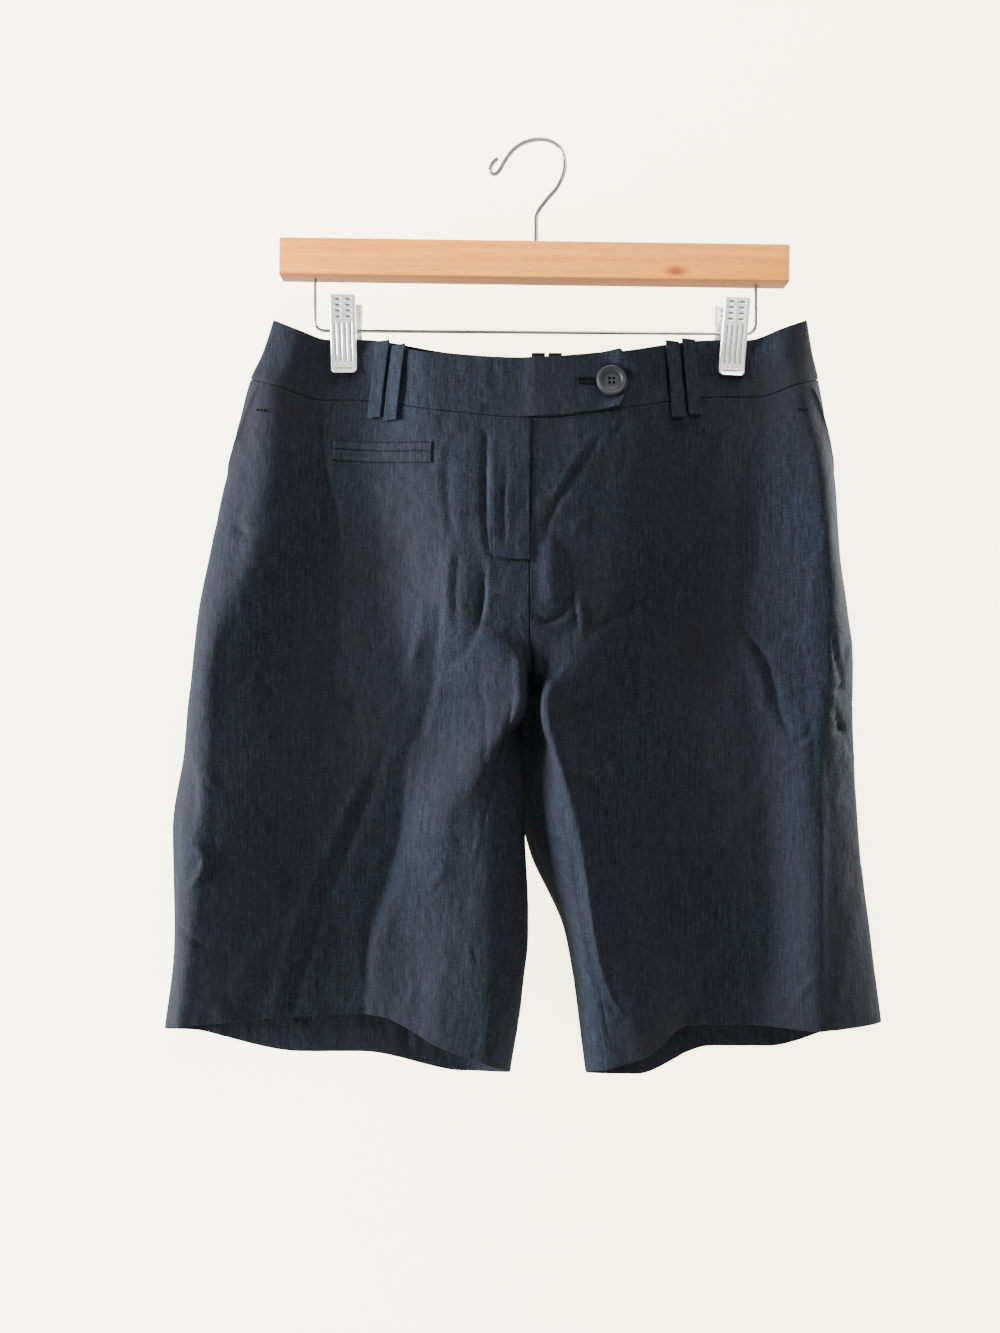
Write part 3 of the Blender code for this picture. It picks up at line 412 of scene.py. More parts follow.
def through(knots, values, at):
    """Monotone cubic through the knots, which leaves every ridge and valley where its row puts it."""
    knots = np.asarray(knots, float)
    values = np.asarray(values, float)
    gaps = np.diff(knots)[:, None]
    rates = np.diff(values, axis=0) / gaps
    same_way = rates[1:] * rates[:-1] > 0
    left = np.where(same_way, rates[:-1], 1.0)
    right = np.where(same_way, rates[1:], 1.0)
    weight_left = 2 * gaps[1:] + gaps[:-1]
    weight_right = gaps[1:] + 2 * gaps[:-1]
    mean = (weight_left + weight_right) / (weight_left / left + weight_right / right)
    slopes = np.vstack([rates[:1], np.where(same_way, mean, 0.0), rates[-1:]])
    at = np.clip(np.asarray(at, float), knots[0], knots[-1])
    index = np.clip(np.searchsorted(knots, at, side="right") - 1, 0, len(knots) - 2)
    gap = gaps[index]
    share = (at - knots[index])[:, None] / gap
    rest = 1 - share
    start = values[index] * (1 + 2 * share) * rest**2 + slopes[index] * gap * share * rest**2
    end = values[index + 1] * (3 - 2 * share) * share**2 - slopes[index + 1] * gap * share**2 * rest
    return start + end


def subdivided(knots, steps):
    """The knots and the places between them, spaced evenly by the number of steps in each gap."""
    places = [knots[0]]
    for start, end, count in zip(knots, knots[1:], steps):
        places.extend(start + (end - start) * np.arange(1, count + 1) / count)
    return np.array(places, float)


def unit(vectors):
    return vectors / np.linalg.norm(vectors, axis=-1, keepdims=True)


def travelled(points):
    """Distance along each row of points from its first one."""
    steps = np.linalg.norm(np.diff(points, axis=-2), axis=-1)
    return np.insert(np.cumsum(steps, axis=-1), 0, 0, axis=-1)


def sampled(row, places, wanted):
    """A row of values at its places, read at the wanted ones."""
    return np.column_stack([np.interp(wanted, places, values) for values in row.T])


def ease(value, low, high):
    """0 below low, 1 above high, and smooth between."""
    share = np.clip((value - low) / (high - low), 0, 1)
    return share * share * (3 - 2 * share)


DROPS = subdivided([row[0] for row in FRONT_ROWS["right"]], BAND_STEPS + LEG_STEPS)
BAND = slice(0, sum(BAND_STEPS) + 1)
LEG = slice(sum(BAND_STEPS), None)
CROTCH_ROW = int(np.argmin(abs(DROPS - CROTCH)))
SIDE_COLUMN = sum(FRONT_STEPS)
FRONT = slice(0, SIDE_COLUMN + 1)
BACK = slice(SIDE_COLUMN, None)
FRONT_VALLEY = sum(FRONT_STEPS[:2]) + FRONT_STEPS[2] // 2
BACK_VALLEY = sum(BACK_STEPS[:2]) + BACK_STEPS[2] // 2

# For each row of the legs: half the gap at the inseam, 1 where its edges meet flush, and how much
# thicker the cloth is inside, where the hem is turned up
LEG_DROPS = DROPS[LEG]
INSEAM_GAPS = np.where(LEG_DROPS > CROTCH + 8, HALF_INSEAM_GAP, HALF_GAP)
FLUSH = ease(LEG_DROPS, CROTCH + 4, CROTCH + 12) * (1 - ease(LEG_DROPS, HEM - 4, HEM - 1))
HEM_TURN = ease(LEG_DROPS, HEM - HEM_DEPTH - 1.5, HEM - HEM_DEPTH) * HEM_EXTRA


def front_lines(row, sign):
    """A front row's (x, y) for each line, with the valley opened into its two edges."""
    _, centre, inner, (x, y), half, outer, side = row
    return [centre, inner, (x - sign * half, y), (x + sign * half, y), outer, side]


def back_lines(row, sign):
    _, outer, (x, y), half, inner, roll, centre = row
    return [outer, (x + sign * half, y), (x - sign * half, y), inner, roll, centre]


def control_points(side, drop):
    """The twelve lines of one leg at this level, round from the centre front to the centre back."""
    places = []
    for rows, spread in ((FRONT_ROWS[side], front_lines), (BACK_ROWS[side], back_lines)):
        plans = [np.ravel(spread(row, SIGN[side])) for row in rows]
        places.append(through([row[0] for row in rows], plans, [drop]).reshape(-1, 2))
    rises = through([row[0] for row in RISE_ROWS[side]], [row[1:] for row in RISE_ROWS[side]], [drop])[0]
    heights = rises[[0, 1, 2, 2, 3, 4, 5, 6, 6, 7, 8, 9]] - drop
    return np.column_stack([np.vstack(places), heights])


def ring(side, drop):
    """Points round one leg at this level. Above the crotch both legs share the centre lines,
    and below it the ring closes at the inseam."""
    own = control_points(side, drop)
    if drop < CROTCH:
        across = control_points(OTHER[side], drop)
        before, after = across[1], across[-2]
        own[0] = (own[0] + across[0]) / 2
        own[-1] = (own[-1] + across[-1]) / 2
    else:
        before, after = own[-2], own[1]
        own[0] = own[-1] = (own[0] + own[-1]) / 2
    points = np.vstack([before, own, after])
    knots = travelled(points[:, :2])
    return through(knots, points, subdivided(knots[1:], FRONT_STEPS + BACK_STEPS))


def directions(grids):
    """Outward directions of each leg's cloth, shared along every seam."""
    joined = (DROPS < CROTCH)[:, None]
    ends = [0, -1]
    found = {}
    for side, grid in grids.items():
        other = grids[OTHER[side]]
        before = np.where(joined, other[:, 1], grid[:, -2])[:, None]
        after = np.where(joined, other[:, -2], grid[:, 1])[:, None]
        around = unit(np.diff(np.concatenate([before, grid, after], axis=1), axis=1))
        down = np.gradient(grid, axis=0)
        down[CROTCH_ROW, ends] = grid[CROTCH_ROW + 1, ends] - grid[CROTCH_ROW, ends]
        found[side] = unit(np.cross(around[:, :-1] + around[:, 1:], down)) * -SIGN[side]
    return found


def smooth_path(points, steps):
    """A curve through the points, which turns evenly between them."""
    points = np.array(points, float)
    ends = np.vstack([2 * points[0] - points[1], points, 2 * points[-1] - points[-2]])
    path = []
    for a, b, c, d in zip(ends, ends[1:], ends[2:], ends[3:]):
        for share in np.arange(steps) / steps:
            path.append(
                0.5 * (2 * b + (c - a) * share + (2 * a - 5 * b + 4 * c - d) * share**2
                       + (3 * b - a - 3 * c + d) * share**3)
            )
    return np.array(path + [points[-1]])


def relief_of(creases, x, drop):
    """How far the creases push out each point (x, drop)."""
    relief = np.zeros_like(x)
    for height, width_left, width_right, sharp, points in creases:
        path = smooth_path(points, 5)
        reach = max(width_left, width_right)
        low = path.min(axis=0) - reach
        high = path.max(axis=0) + reach
        near = (x > low[0]) & (x < high[0]) & (drop > low[1]) & (drop < high[1])
        if not near.any():
            continue
        ways = np.diff(path, axis=0)
        starts = travelled(path)
        lengths = np.diff(starts)
        offset = np.stack([x[near], drop[near]], axis=-1)[:, None] - path[:-1]
        share = np.clip((offset * ways).sum(axis=-1) / lengths**2, 0, 1)
        offset = offset - share[..., None] * ways
        distance = np.linalg.norm(offset, axis=-1)
        nearest = distance.argmin(axis=1)
        rows = np.arange(len(nearest))
        along = (starts[:-1] + share * lengths)[rows, nearest] / starts[-1]
        turn = ways[nearest, 0] * offset[rows, nearest, 1] - ways[nearest, 1] * offset[rows, nearest, 0]
        taper = np.clip(np.sin(np.pi * along), 0, 1) ** 0.7
        width = np.where(turn > 0, width_left, width_right) * (0.45 + 0.55 * taper)
        across = np.clip(distance[rows, nearest] / width, 0, 1)
        bump = (1 - sharp) * (1 - across**2) ** 2 + sharp * (1 - across) ** 2
        relief[near] += height * taper * bump
    return relief


def scattered(seed, count, lengths, widths, heights, upright):
    """Small creases spread over one face of the shorts, the same ones on each run."""
    chance = np.random.default_rng(seed)
    made = []
    for _ in range(count):
        x = chance.uniform(-245, 240)
        drop = chance.uniform(192, 628)
        angle = chance.normal(0, upright) if chance.random() < 0.75 else chance.uniform(-1.5, 1.5)
        half = chance.uniform(*lengths) / 2
        way = np.array([math.sin(angle), math.cos(angle)]) * half
        bend = np.array([way[1], -way[0]]) * chance.uniform(-0.25, 0.25)
        middle = np.array([x, drop])
        height = chance.uniform(*heights) * chance.choice([-1, 1])
        width = chance.uniform(*widths)
        skew = chance.uniform(0.7, 1.4)
        points = (middle - way, middle + bend, middle + way)
        made.append((height, width * skew, width / skew, chance.uniform(0.2, 0.9), points))
    return made


def quiet_places(x, drop):
    """Less than 1 where the cloth is held, under the jaws and the button."""
    calm = ease(np.hypot(x - BUTTON_X, drop - BUTTON_DROP), 12, 20)
    for _, centre, _, _ in CLIPS:
        away = np.hypot((x - centre) / JAW_REACH[0], (drop - JAW_DROP) / JAW_REACH[1])
        calm = calm * ease(away, 0.75, 1.25)
    return calm


def relief_grids(grids):
    """The creases' height over both legs: the front's and the back's meet smoothly at the seams."""
    found = {}
    front = [*FRONT_CREASES, *scattered(3, **SMALL), *scattered(5, **BROAD)]
    back = [*BACK_CREASES, *scattered(7, **SMALL), *scattered(9, **BROAD)]
    apart = ease(DROPS, CROTCH - 20, CROTCH + 12)[:, None] / 2
    for side, grid in grids.items():
        x = grid[..., 0]
        drop = -grid[..., 2]
        arc = travelled(grid)
        on_front = ease(arc[:, [SIDE_COLUMN]] - arc, -SEAM_BLEND, SEAM_BLEND)
        on_front = on_front * (1 - apart * (1 - ease(arc, 0, SEAM_BLEND)))
        on_front = on_front + apart * (1 - ease(arc[:, [-1]] - arc, 0, SEAM_BLEND))
        relief = on_front * relief_of(front, x, drop) + (1 - on_front) * relief_of(back, x, drop)
        band = relief_of(BAND_CREASES, x, drop) * on_front
        below_band = ease(drop, WAIST_SEAM - 6, WAIST_SEAM + 16)
        found[side] = (relief * below_band + band) * quiet_places(x, drop)
    return found


def leg_surfaces():
    """The middle of each leg's cloth with its creases, and its outward directions, in one array."""
    grids = {side: np.array([ring(side, drop) for drop in DROPS]) for side in SIGN}
    smooth = directions(grids)
    relief = relief_grids(grids)
    for side, grid in grids.items():
        grid += smooth[side] * relief[side][..., None]
    right, left = grids["right"], grids["left"]
    above = slice(0, CROTCH_ROW)
    for end in (0, -1):
        right[above, end] = left[above, end] = (right[above, end] + left[above, end]) / 2
    for grid in grids.values():
        grid[CROTCH_ROW:, 0] = grid[CROTCH_ROW:, -1] = (grid[CROTCH_ROW:, 0] + grid[CROTCH_ROW:, -1]) / 2
    outward = directions(grids)
    return {side: np.concatenate([grid, outward[side]], axis=-1) for side, grid in grids.items()}


LEGS = leg_surfaces()


def threads_of(points, middle_column):
    """Where each point lies along the weft and the warp: straight down at the middle column."""
    arc = travelled(points)
    way = np.sign(points[0, -1, 0] - points[0, 0, 0])
    weft = (arc - arc[:, [middle_column]]) * way + points[:, [middle_column], 0]
    return np.stack([weft, -points[..., 2]], axis=-1)


def fine_edges(grid):
    """Adds rows close to both ends of the grid, at the distances where its edge is rounded."""
    near = []
    for end, inner in ((grid[0], grid[1]), (grid[-1], grid[-2])):
        gap = float(np.mean(np.linalg.norm((end - inner)[:, :3], axis=-1)))
        scale = min(1.0, gap * EDGE_REACH / EDGE_ROUND[-1][0])
        near.append([end + (inner - end) * (distance * scale / gap) for distance, _ in EDGE_ROUND[1:]])
    return np.concatenate([grid[:1], near[0], grid[1:-1], near[1][::-1], grid[-1:]])


def edge_shares(count):
    """The share of the thickness for each row, once fine_edges has added its rows."""
    shares = np.ones(count)
    for index, (_, share) in enumerate(EDGE_ROUND):
        shares[[index, -1 - index]] = share
    return shares


def add(name, data):
    made = bpy.data.objects.new(name, data)
    bpy.context.scene.collection.objects.link(made)
    return made


def add_mesh(name, vertices, faces, finish):
    mesh = bpy.data.meshes.new(name)
    mesh.from_pydata(vertices, [], faces)
    mesh.materials.append(finish)
    return add(name, mesh)


def wall(name, points, normals, thickness, finish, threads=None, extra_inside=0.0, flush=0.0):
    """A closed wall round a grid of middle points, with rounded edges.

    threads says where the weave runs, or how deep pressed steel is pressed in for its painted shade,
    extra_inside thickens its inner side, and flush is 1 where an edge isn't rounded.
    """
    if threads is None:
        threads = threads_of(points, points.shape[1] // 2)
    extras = [np.broadcast_to(extra, points.shape[:2])[..., None] for extra in (extra_inside, flush)]
    grid = fine_edges(np.concatenate([points, normals, threads, *extras], axis=-1))
    grid = fine_edges(grid.swapaxes(0, 1)).swapaxes(0, 1)
    points, normals, threads, extra_inside, flush = np.split(grid, (3, 6, 8, 9), axis=-1)
    rows, columns = grid.shape[:2]
    share = np.maximum(np.minimum.outer(edge_shares(rows), edge_shares(columns))[..., None], flush)
    outer = points + normals * thickness / 2 * share
    inner = points - normals * (thickness / 2 + extra_inside) * share
    index = np.arange(rows * columns).reshape(rows, columns)
    corners = (index[:-1, :-1], index[:-1, 1:], index[1:, 1:], index[1:, :-1])
    quads = np.stack(corners, axis=-1).reshape(-1, 4)
    border = np.concatenate([index[0], index[1:, -1], index[-1, -2::-1], index[-2:0:-1, 0]])
    following = np.roll(border, -1)
    rim = np.stack([following, border, border + index.size, following + index.size], axis=-1)
    faces = np.vstack([quads, quads[:, ::-1] + index.size, rim])
    row, column = rows // 2, columns // 2
    across = points[row, column + 1] - points[row, column]
    down = points[row + 1, column] - points[row, column]
    if np.cross(across, down) @ normals[row, column] < 0:
        faces = faces[:, ::-1]
    vertices = np.vstack([outer.reshape(-1, 3), inner.reshape(-1, 3)]) * MM
    made = add_mesh(name, vertices, faces.tolist(), finish)
    made.data.shade_smooth()
    detail = np.pad(threads, ((0, 0), (0, 0), (0, 1))).reshape(-1, 3)
    weave = made.data.attributes.new("detail", "FLOAT_VECTOR", "POINT")
    weave.data.foreach_set("vector", np.tile(detail, (2, 1)).astype(np.float32).ravel())
    return made


def stand_for(piece, node):
    """The piece is shown in place of this CAD node."""
    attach(piece, BODY)
    if node:
        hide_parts(node)


def cloth(name, node, points, normals, thickness=CLOTH_THICKNESS, finish=None, slot="chambray", **more):
    """A wall of cloth, shown in place of this CAD node."""
    stand_for(wall(name, points, normals, thickness, finish or CHAMBRAY, **more), node)


def pull_in(points, distances):
    """Draws the four edges of a grid in: its first and last columns, then its first and last rows."""
    points = points.copy()
    first, last, top, foot = distances
    columns = np.swapaxes(points, 0, 1)
    for lines, index, inner, distance in (
        (columns, 0, 1, first), (columns, -1, -2, last), (points, 0, 1, top), (points, -1, -2, foot),
    ):
        lines[index] += unit(lines[inner] - lines[index]) * np.reshape(distance, (-1, 1))
    return points


class Look:
    """The nodes of a material or of the world, and short ways to add to them."""

    def __init__(self, owner):
        owner.use_nodes = True
        self.owner = owner
        self.tree = owner.node_tree

    def fill(self, node, inputs):
        """Sets a node's inputs, each from a number, a colour, a vector or another node's output."""
        for key, value in inputs.items():
            socket = node.inputs[key]
            if isinstance(value, bpy.types.NodeSocket):
                self.tree.links.new(value, socket)
            elif socket.type == "RGBA":
                socket.default_value = (*value, 1)
            else:
                socket.default_value = value

    def node(self, kind, inputs=None, **settings):
        made = self.tree.nodes.new("ShaderNode" + kind)
        for key, value in settings.items():
            setattr(made, key, value)
        self.fill(made, inputs or {})
        return made

    def place(self):
        return self.node("TexCoord").outputs["Object"]

    def detail(self):
        return self.node("Attribute", attribute_name="detail").outputs["Vector"]

    def light_path(self, kind):
        return self.node("LightPath").outputs[kind]

    def axis(self, vector, name):
        return self.node("SeparateXYZ", {0: vector}).outputs[name]

    def maths(self, operation, first, second):
        return self.node("Math", {0: first, 1: second}, operation=operation).outputs[0]

    def weighted(self, first, first_share, second, second_share):
        parts = self.maths("MULTIPLY", first, first_share), self.maths("MULTIPLY", second, second_share)
        return self.maths("ADD", *parts)

    def scaled(self, vector, scale):
        return self.node("VectorMath", {0: vector, 1: scale}, operation="MULTIPLY").outputs[0]

    def grain(self, vector, scale, detail=2.0, roughness=0.5):
        """Noise from 0 to 1 along a vector, at this many features a unit in each direction."""
        inputs = {"Scale": 1.0, "Detail": detail, "Roughness": roughness}
        return self.node("TexNoise", {"Vector": self.scaled(vector, scale), **inputs}).outputs["Fac"]

    def stretch(self, value, low, high, to_low=0.0, to_high=1.0):
        inputs = {"From Min": low, "From Max": high, "To Min": to_low, "To Max": to_high}
        return self.node("MapRange", {"Value": value, **inputs}, clamp=True).outputs["Result"]

    def mix(self, share, first, second):
        inputs = {"Factor": share, "A": first, "B": second}
        return self.node("Mix", inputs, data_type="RGBA").outputs["Result"]

    def shade(self, colour, roughness, specular=0.5, bumps=(), **more):
        """Sets the shader, with bumps from heights from 0 to 1 and their real depths in mm."""
        inputs = {"Base Color": colour, "Roughness": roughness, "Specular IOR Level": specular, **more}
        for height, depth in bumps:
            bump = {"Strength": 1.0, "Distance": depth * MM, "Height": height}
            if "Normal" in inputs:
                bump["Normal"] = inputs["Normal"]
            inputs["Normal"] = self.node("Bump", bump).outputs["Normal"]
        self.fill(self.tree.nodes["Principled BSDF"], inputs)
        return self.owner


def new_look(name):
    return Look(bpy.data.materials.new(name))


def chambray(name, paler=1.0):
    """Indigo chambray: uneven warp and weft yarns, pale slubs, few flecks and a plum cast."""
    look = new_look(name)
    where = look.detail()
    warp = look.grain(where, (1.3, 0.10, 1), 3.0, 0.75)
    weft = look.grain(where, (0.18, 1.4, 1), 3.0, 0.75)
    streak = look.grain(where, (0.55, 0.02, 1), 3.0, 0.6)
    slub = look.grain(where, (0.9, 0.10, 1))
    fleck = look.grain(where, (0.75, 0.55, 1), 1.0)
    cloud = look.grain(where, (0.012, 0.009, 1), 3.0)
    crumple = look.grain(where, (0.085, 0.06, 1), 3.0)
    woven = look.weighted(warp, 0.55, weft, 0.45)
    yarns = look.weighted(woven, 0.8, streak, 0.2)
    deep, bright = (tuple(value * paler for value in colour) for colour in (INDIGO_DEEP, INDIGO))
    base = look.mix(look.stretch(yarns, 0.41, 0.62), deep, bright)
    tinted = look.mix(look.stretch(cloud, 0.42, 0.68, 0, 0.6), base, PLUM)
    streaked = look.mix(look.stretch(slub, 0.62, 0.85, 0, 0.35), tinted, WEFT_GREY)
    flecked = look.mix(look.stretch(fleck, 0.80, 0.86, 0, 0.8), streaked, WEFT_GREY)
    return look.shade(flecked, 0.75, 0.1, bumps=((crumple, 1.7), (woven, 0.5)))


def thread_material():
    look = new_look("thread")
    twist = look.grain(look.place(), (2500, 2500, 2500))
    return look.shade(look.mix(twist, (0.0006, 0.0007, 0.001), (0.002, 0.0024, 0.0035)), 0.8, 0.08)


def steel_material(name, dark, pale, smooth, metallic):
    """Brushed steel, with shade painted grey into the dents and grooves where its surface is pressed in."""
    look = new_look(name)
    place = look.place()
    colour = look.mix(look.grain(place, (120, 120, 120)), dark, pale)
    # Painted shade: grey is mixed in by how deep each point of the steel is pressed, as shade in the dents
    # and grooves
    painted_shade_in_dents = look.stretch(look.axis(look.detail(), "X"), 0.2, 0.9, 0, 0.95)
    shaded = look.mix(painted_shade_in_dents, colour, PAINTED_GROOVE_SHADE)
    scratch = look.stretch(look.grain(place, (900, 900, 120)), 0.3, 0.7, smooth, smooth + 0.06)
    return look.shade(shaded, scratch, Metallic=metallic)


def beech_material():
    """Pale lacquered wood: long grain, short dark flecks, a knot near one end, and painted shade along its
    lower edge.
    """
    look = new_look("beech")
    place = look.place()
    rings = look.grain(place, (7, 60, 240), 3.0, 0.55)
    pores = look.grain(place, (70, 500, 620))
    rays = look.grain(place, (160, 700, 900), 1.0)
    base = look.mix(look.stretch(rings, 0.3, 0.7), (1.0, 0.40, 0.05), (0.86, 0.25, 0.02))
    flecked = look.mix(look.stretch(pores, 0.55, 0.75, 0, 0.45), base, (0.50, 0.20, 0.07))
    rayed = look.mix(look.stretch(rays, 0.6, 0.8, 0, 0.4), flecked, (0.95, 0.50, 0.17))
    offset = look.node("VectorMath", {0: place, 1: KNOT_PLACE}, operation="SUBTRACT").outputs[0]
    shape = look.scaled(offset, (1 / KNOT_SIZE[0], 0.0, 1 / KNOT_SIZE[1]))
    away = look.node("VectorMath", {0: shape}, operation="LENGTH").outputs["Value"]
    uneven = look.maths("ADD", away, look.maths("MULTIPLY", rings, 1.2))
    knotted = look.mix(look.stretch(uneven, 0.8, 1.8, 1.0, 0), rayed, (0.40, 0.075, 0.02))
    # Painted shade: the wood turns darker brown along the bar's lower edge, where its rounded underside
    # faces away from the light
    painted_shade_lower_edge = look.stretch(look.axis(place, "Z"), -0.0128, -0.0112, 0.95, 0)
    shaded_underneath = look.mix(painted_shade_lower_edge, knotted, (0.30, 0.11, 0.035))
    return look.shade(shaded_underneath, 0.5, 0.3, bumps=((pores, 0.06), (rings, 0.1)))


def button_material():
    look = new_look("button_charcoal")
    place = look.place()
    swirl = look.grain(place, (160, 160, 500), 4.0, 0.6)
    fine = look.grain(place, (1500, 1500, 1500))
    colour = look.mix(swirl, (0.006, 0.007, 0.010), (0.018, 0.020, 0.026))
    return look.shade(colour, 0.5, 0.3, bumps=((fine, 0.02),))


CHAMBRAY = chambray("chambray")
CHAMBRAY_LAID = chambray("chambray_narrow", 1.12)
THREAD = thread_material()
STEEL = steel_material("plated_steel", (0.88, 0.88, 0.87), (0.95, 0.95, 0.94), 0.24, 0.42)
WIRE_STEEL = steel_material("drawn_wire", (0.28, 0.28, 0.27), (0.40, 0.40, 0.39), 0.18, 1.0)
BEECH = beech_material()
BUTTON = button_material()
ZIP_TAPE = chambray("zip_tape", 0.6)
# Painted shade: the cloth made about an eighth as bright, for the backing seen round and between the welts
SHADED_LINING = chambray("lining_in_shade", 0.12)


def leg_panel(face, side, grid, valley, inseam_first):
    """A leg panel, with its inseam at its first or its last column and its hem turned up inside."""
    points, normals = np.split(grid, 2, axis=-1)
    sides = (INSEAM_GAPS, HALF_GAP) if inseam_first else (HALF_GAP, INSEAM_GAPS)
    columns = points.shape[1]
    by_inseam = (np.arange(columns) < columns // 2) == inseam_first
    cloth(
        f"cloth_{face}_{side}", f"{face}_{side}", pull_in(points, (*sides, HALF_GAP, 0)), normals,
        threads=threads_of(points, valley), extra_inside=HEM_TURN[:, None],
        flush=FLUSH[:, None] * by_inseam,
    )


def front_panels():
    """The front panels, cut away at the pocket mouths, and the facings behind these."""
    steps = FRONT_STEPS[-1]
    places = np.arange(steps + 1)
    stands = ease(LEG_DROPS, WAIST_SEAM + 2, WAIST_SEAM + 8)
    stands = stands * (1 - ease(LEG_DROPS, POCKET_FOOT - 8, POCKET_FOOT))
    for side in SIGN:
        grid = LEGS[side][LEG, FRONT].copy()
        facing = []
        for row, drop in zip(grid, LEG_DROPS):
            if drop > POCKET_FOOT:
                break
            mouth = np.interp(drop, *zip(*POCKET_MOUTH)) * steps
            whole = row[-steps - 1 :].copy()
            row[-steps - 1 :] = sampled(whole, places, np.linspace(0, mouth, steps + 1))
            if drop <= FACING_FOOT:
                facing.append(sampled(whole, places, np.linspace(mouth, steps, FACING_STEPS + 1)))
        for back, share in enumerate(MOUTH_LIFT):
            column = grid[:, -1 - back]
            column[:, :3] += column[:, 3:] * (stands * share)[:, None]
        leg_panel("front", side, grid, FRONT_VALLEY, True)
        points, normals = np.split(np.array(facing), 2, axis=-1)
        inset = pull_in(points, (HALF_GAP, HALF_GAP, HALF_GAP, 0)) - normals * FACING_DEPTH
        cloth(f"cloth_pocket_facing_{side}", f"side_pocket_facing_{side}", inset, normals)


def back_panels():
    for side in SIGN:
        leg_panel("back", side, LEGS[side][LEG, BACK], BACK_VALLEY, False)


def waistband():
    """The bands. The right front's goes on over the left one past the fly, as the tab."""
    right, left = (LEGS[side][BAND] for side in SIGN)
    tab = []
    for right_row, left_row, reach in zip(right, left[:, FRONT], np.interp(DROPS[BAND], *zip(*TAB_END))):
        wanted = np.linspace(right_row[0, 0], reach, TAB_STEPS + 1)[1:]
        tab.append(sampled(left_row, left_row[:, 0], wanted))
    points, normals = np.split(np.concatenate([right[:, FRONT][:, ::-1], tab], axis=1), 2, axis=-1)
    x, drop = points[..., 0], -points[..., 2]
    lift = np.interp(x, (UNDERLAP_START - TAB_RAMP, UNDERLAP_START - 1.5), (0, TAB_LIFT))
    from_button = np.hypot(x - BUTTON_X, drop - BUTTON_DROP)
    lift += TAB_END_LIFT * ease(x, 40, 56) * ease(from_button, 10.5, 15.5)
    inset = pull_in(points + normals * lift[..., None], (HALF_GAP, 0, 0, HALF_GAP))
    cloth("cloth_band_front_right", "waistband_front_right", inset, normals)

    points, normals = np.split(left[:, FRONT], 2, axis=-1)
    inset = pull_in(points, (0, HALF_GAP, 0, HALF_GAP))
    keep = inset[..., 0].min(axis=0) > UNDERLAP_START
    cloth("cloth_band_front_left", "waistband_front_left", inset[:, keep], normals[:, keep])

    grid = np.concatenate([right[:, BACK], left[:, BACK][:, -2::-1]], axis=1)
    points, normals = np.split(grid, 2, axis=-1)
    inset = pull_in(points, (HALF_GAP, HALF_GAP, 0, HALF_GAP))
    cloth("cloth_band_back", "waistband_back", inset, normals)


class Face:
    """The depth of the front's or the back's cloth at any x and drop, read from its grid."""

    def __init__(self, grid, outward):
        self.outward = outward
        rows = [sampled(row[:, 1:3], row[:, 0], FACE_X) for row in grid]
        depths, self.heights = np.moveaxis(np.array(rows), -1, 0)
        self.table = np.array([np.interp(FACE_DROPS, -z, y) for z, y in zip(self.heights.T, depths.T)])

    def depth(self, x, drop):
        column = np.clip(x - FACE_X[0], 0, len(FACE_X) - 1.001)
        row = np.clip(drop - FACE_DROPS[0], 0, len(FACE_DROPS) - 1.001)
        i, j = column.astype(int), row.astype(int)
        a, b = column - i, row - j
        near, far = (self.table[i, k] * (1 - a) + self.table[i + 1, k] * a for k in (j, j + 1))
        return near * (1 - b) + far * b

    def drop_of_row(self, x, row):
        return -np.interp(x, FACE_X, self.heights[row])

    def laid(self, x, drop, distance):
        """Points and outward directions of a piece this far outside the cloth's middle."""
        probe = 2.0
        slope_x = self.depth(x + probe, drop) - self.depth(x - probe, drop)
        slope_z = self.depth(x, drop - probe) - self.depth(x, drop + probe)
        normals = unit(np.stack([-slope_x, np.full_like(x, 2 * probe), -slope_z], axis=-1)) * self.outward
        return np.stack([x, self.depth(x, drop), -drop], axis=-1) + normals * distance, normals


# Both legs down to the crotch, where they are joined
RIGHT, LEFT = (LEGS[side][: CROTCH_ROW + 1] for side in SIGN)
FRONT_FACE = Face(np.concatenate([RIGHT[:-1, FRONT][:, ::-1], LEFT[:-1, FRONT][:, 1:]], axis=1), -1)
BACK_FACE = Face(np.concatenate([RIGHT[:-1, BACK], LEFT[:-1, BACK][:, -2::-1]], axis=1), 1)


def resting(thickness):
    """Distance from the cloth's middle to the middle of a piece that rests on it."""
    return CLOTH_THICKNESS / 2 + LAY_GAP + thickness / 2


def strap(surface, x_top, top, x_foot, foot):
    """A straight strap over the cloth: flat across its width, and bowed only along its length."""
    share = np.linspace(0, 1, LOOP_ROWS)
    x = x_top + (x_foot - x_top) * share
    drop = top + (foot - top) * share
    reach = np.linspace(-0.6, 0.6, 7) * LOOP_WIDTH
    cloth_depth = surface.depth(x[:, None] + reach, drop[:, None] + 0 * reach)
    bow = np.polyfit(share, cloth_depth.mean(axis=1), 2)
    tilt = np.polyfit(reach, cloth_depth.mean(axis=0), 1)[0]
    middle = np.polyval(bow, share)[:, None]
    proud = (surface.outward * (cloth_depth - middle - tilt * reach)).max()
    rise = np.polyval(np.polyder(bow), share)[:, None] / (foot - top)
    across = np.linspace(-0.5, 0.5, 6) * LOOP_WIDTH + np.zeros((LOOP_ROWS, 1))
    normals = np.stack([np.full_like(across, -tilt), np.ones_like(across), rise + 0 * across], axis=-1)
    normals = unit(normals) * surface.outward
    stand = np.interp(share, np.linspace(0, 1, len(LOOP_STAND)), LOOP_STAND)
    away = resting(LOOP_THICKNESS) + 0.7 * max(proud, 0) + stand
    depth = middle + tilt * across
    points = np.stack([x[:, None] + across, depth, -drop[:, None] + 0 * across], axis=-1)
    return points + normals * away[:, None, None], normals


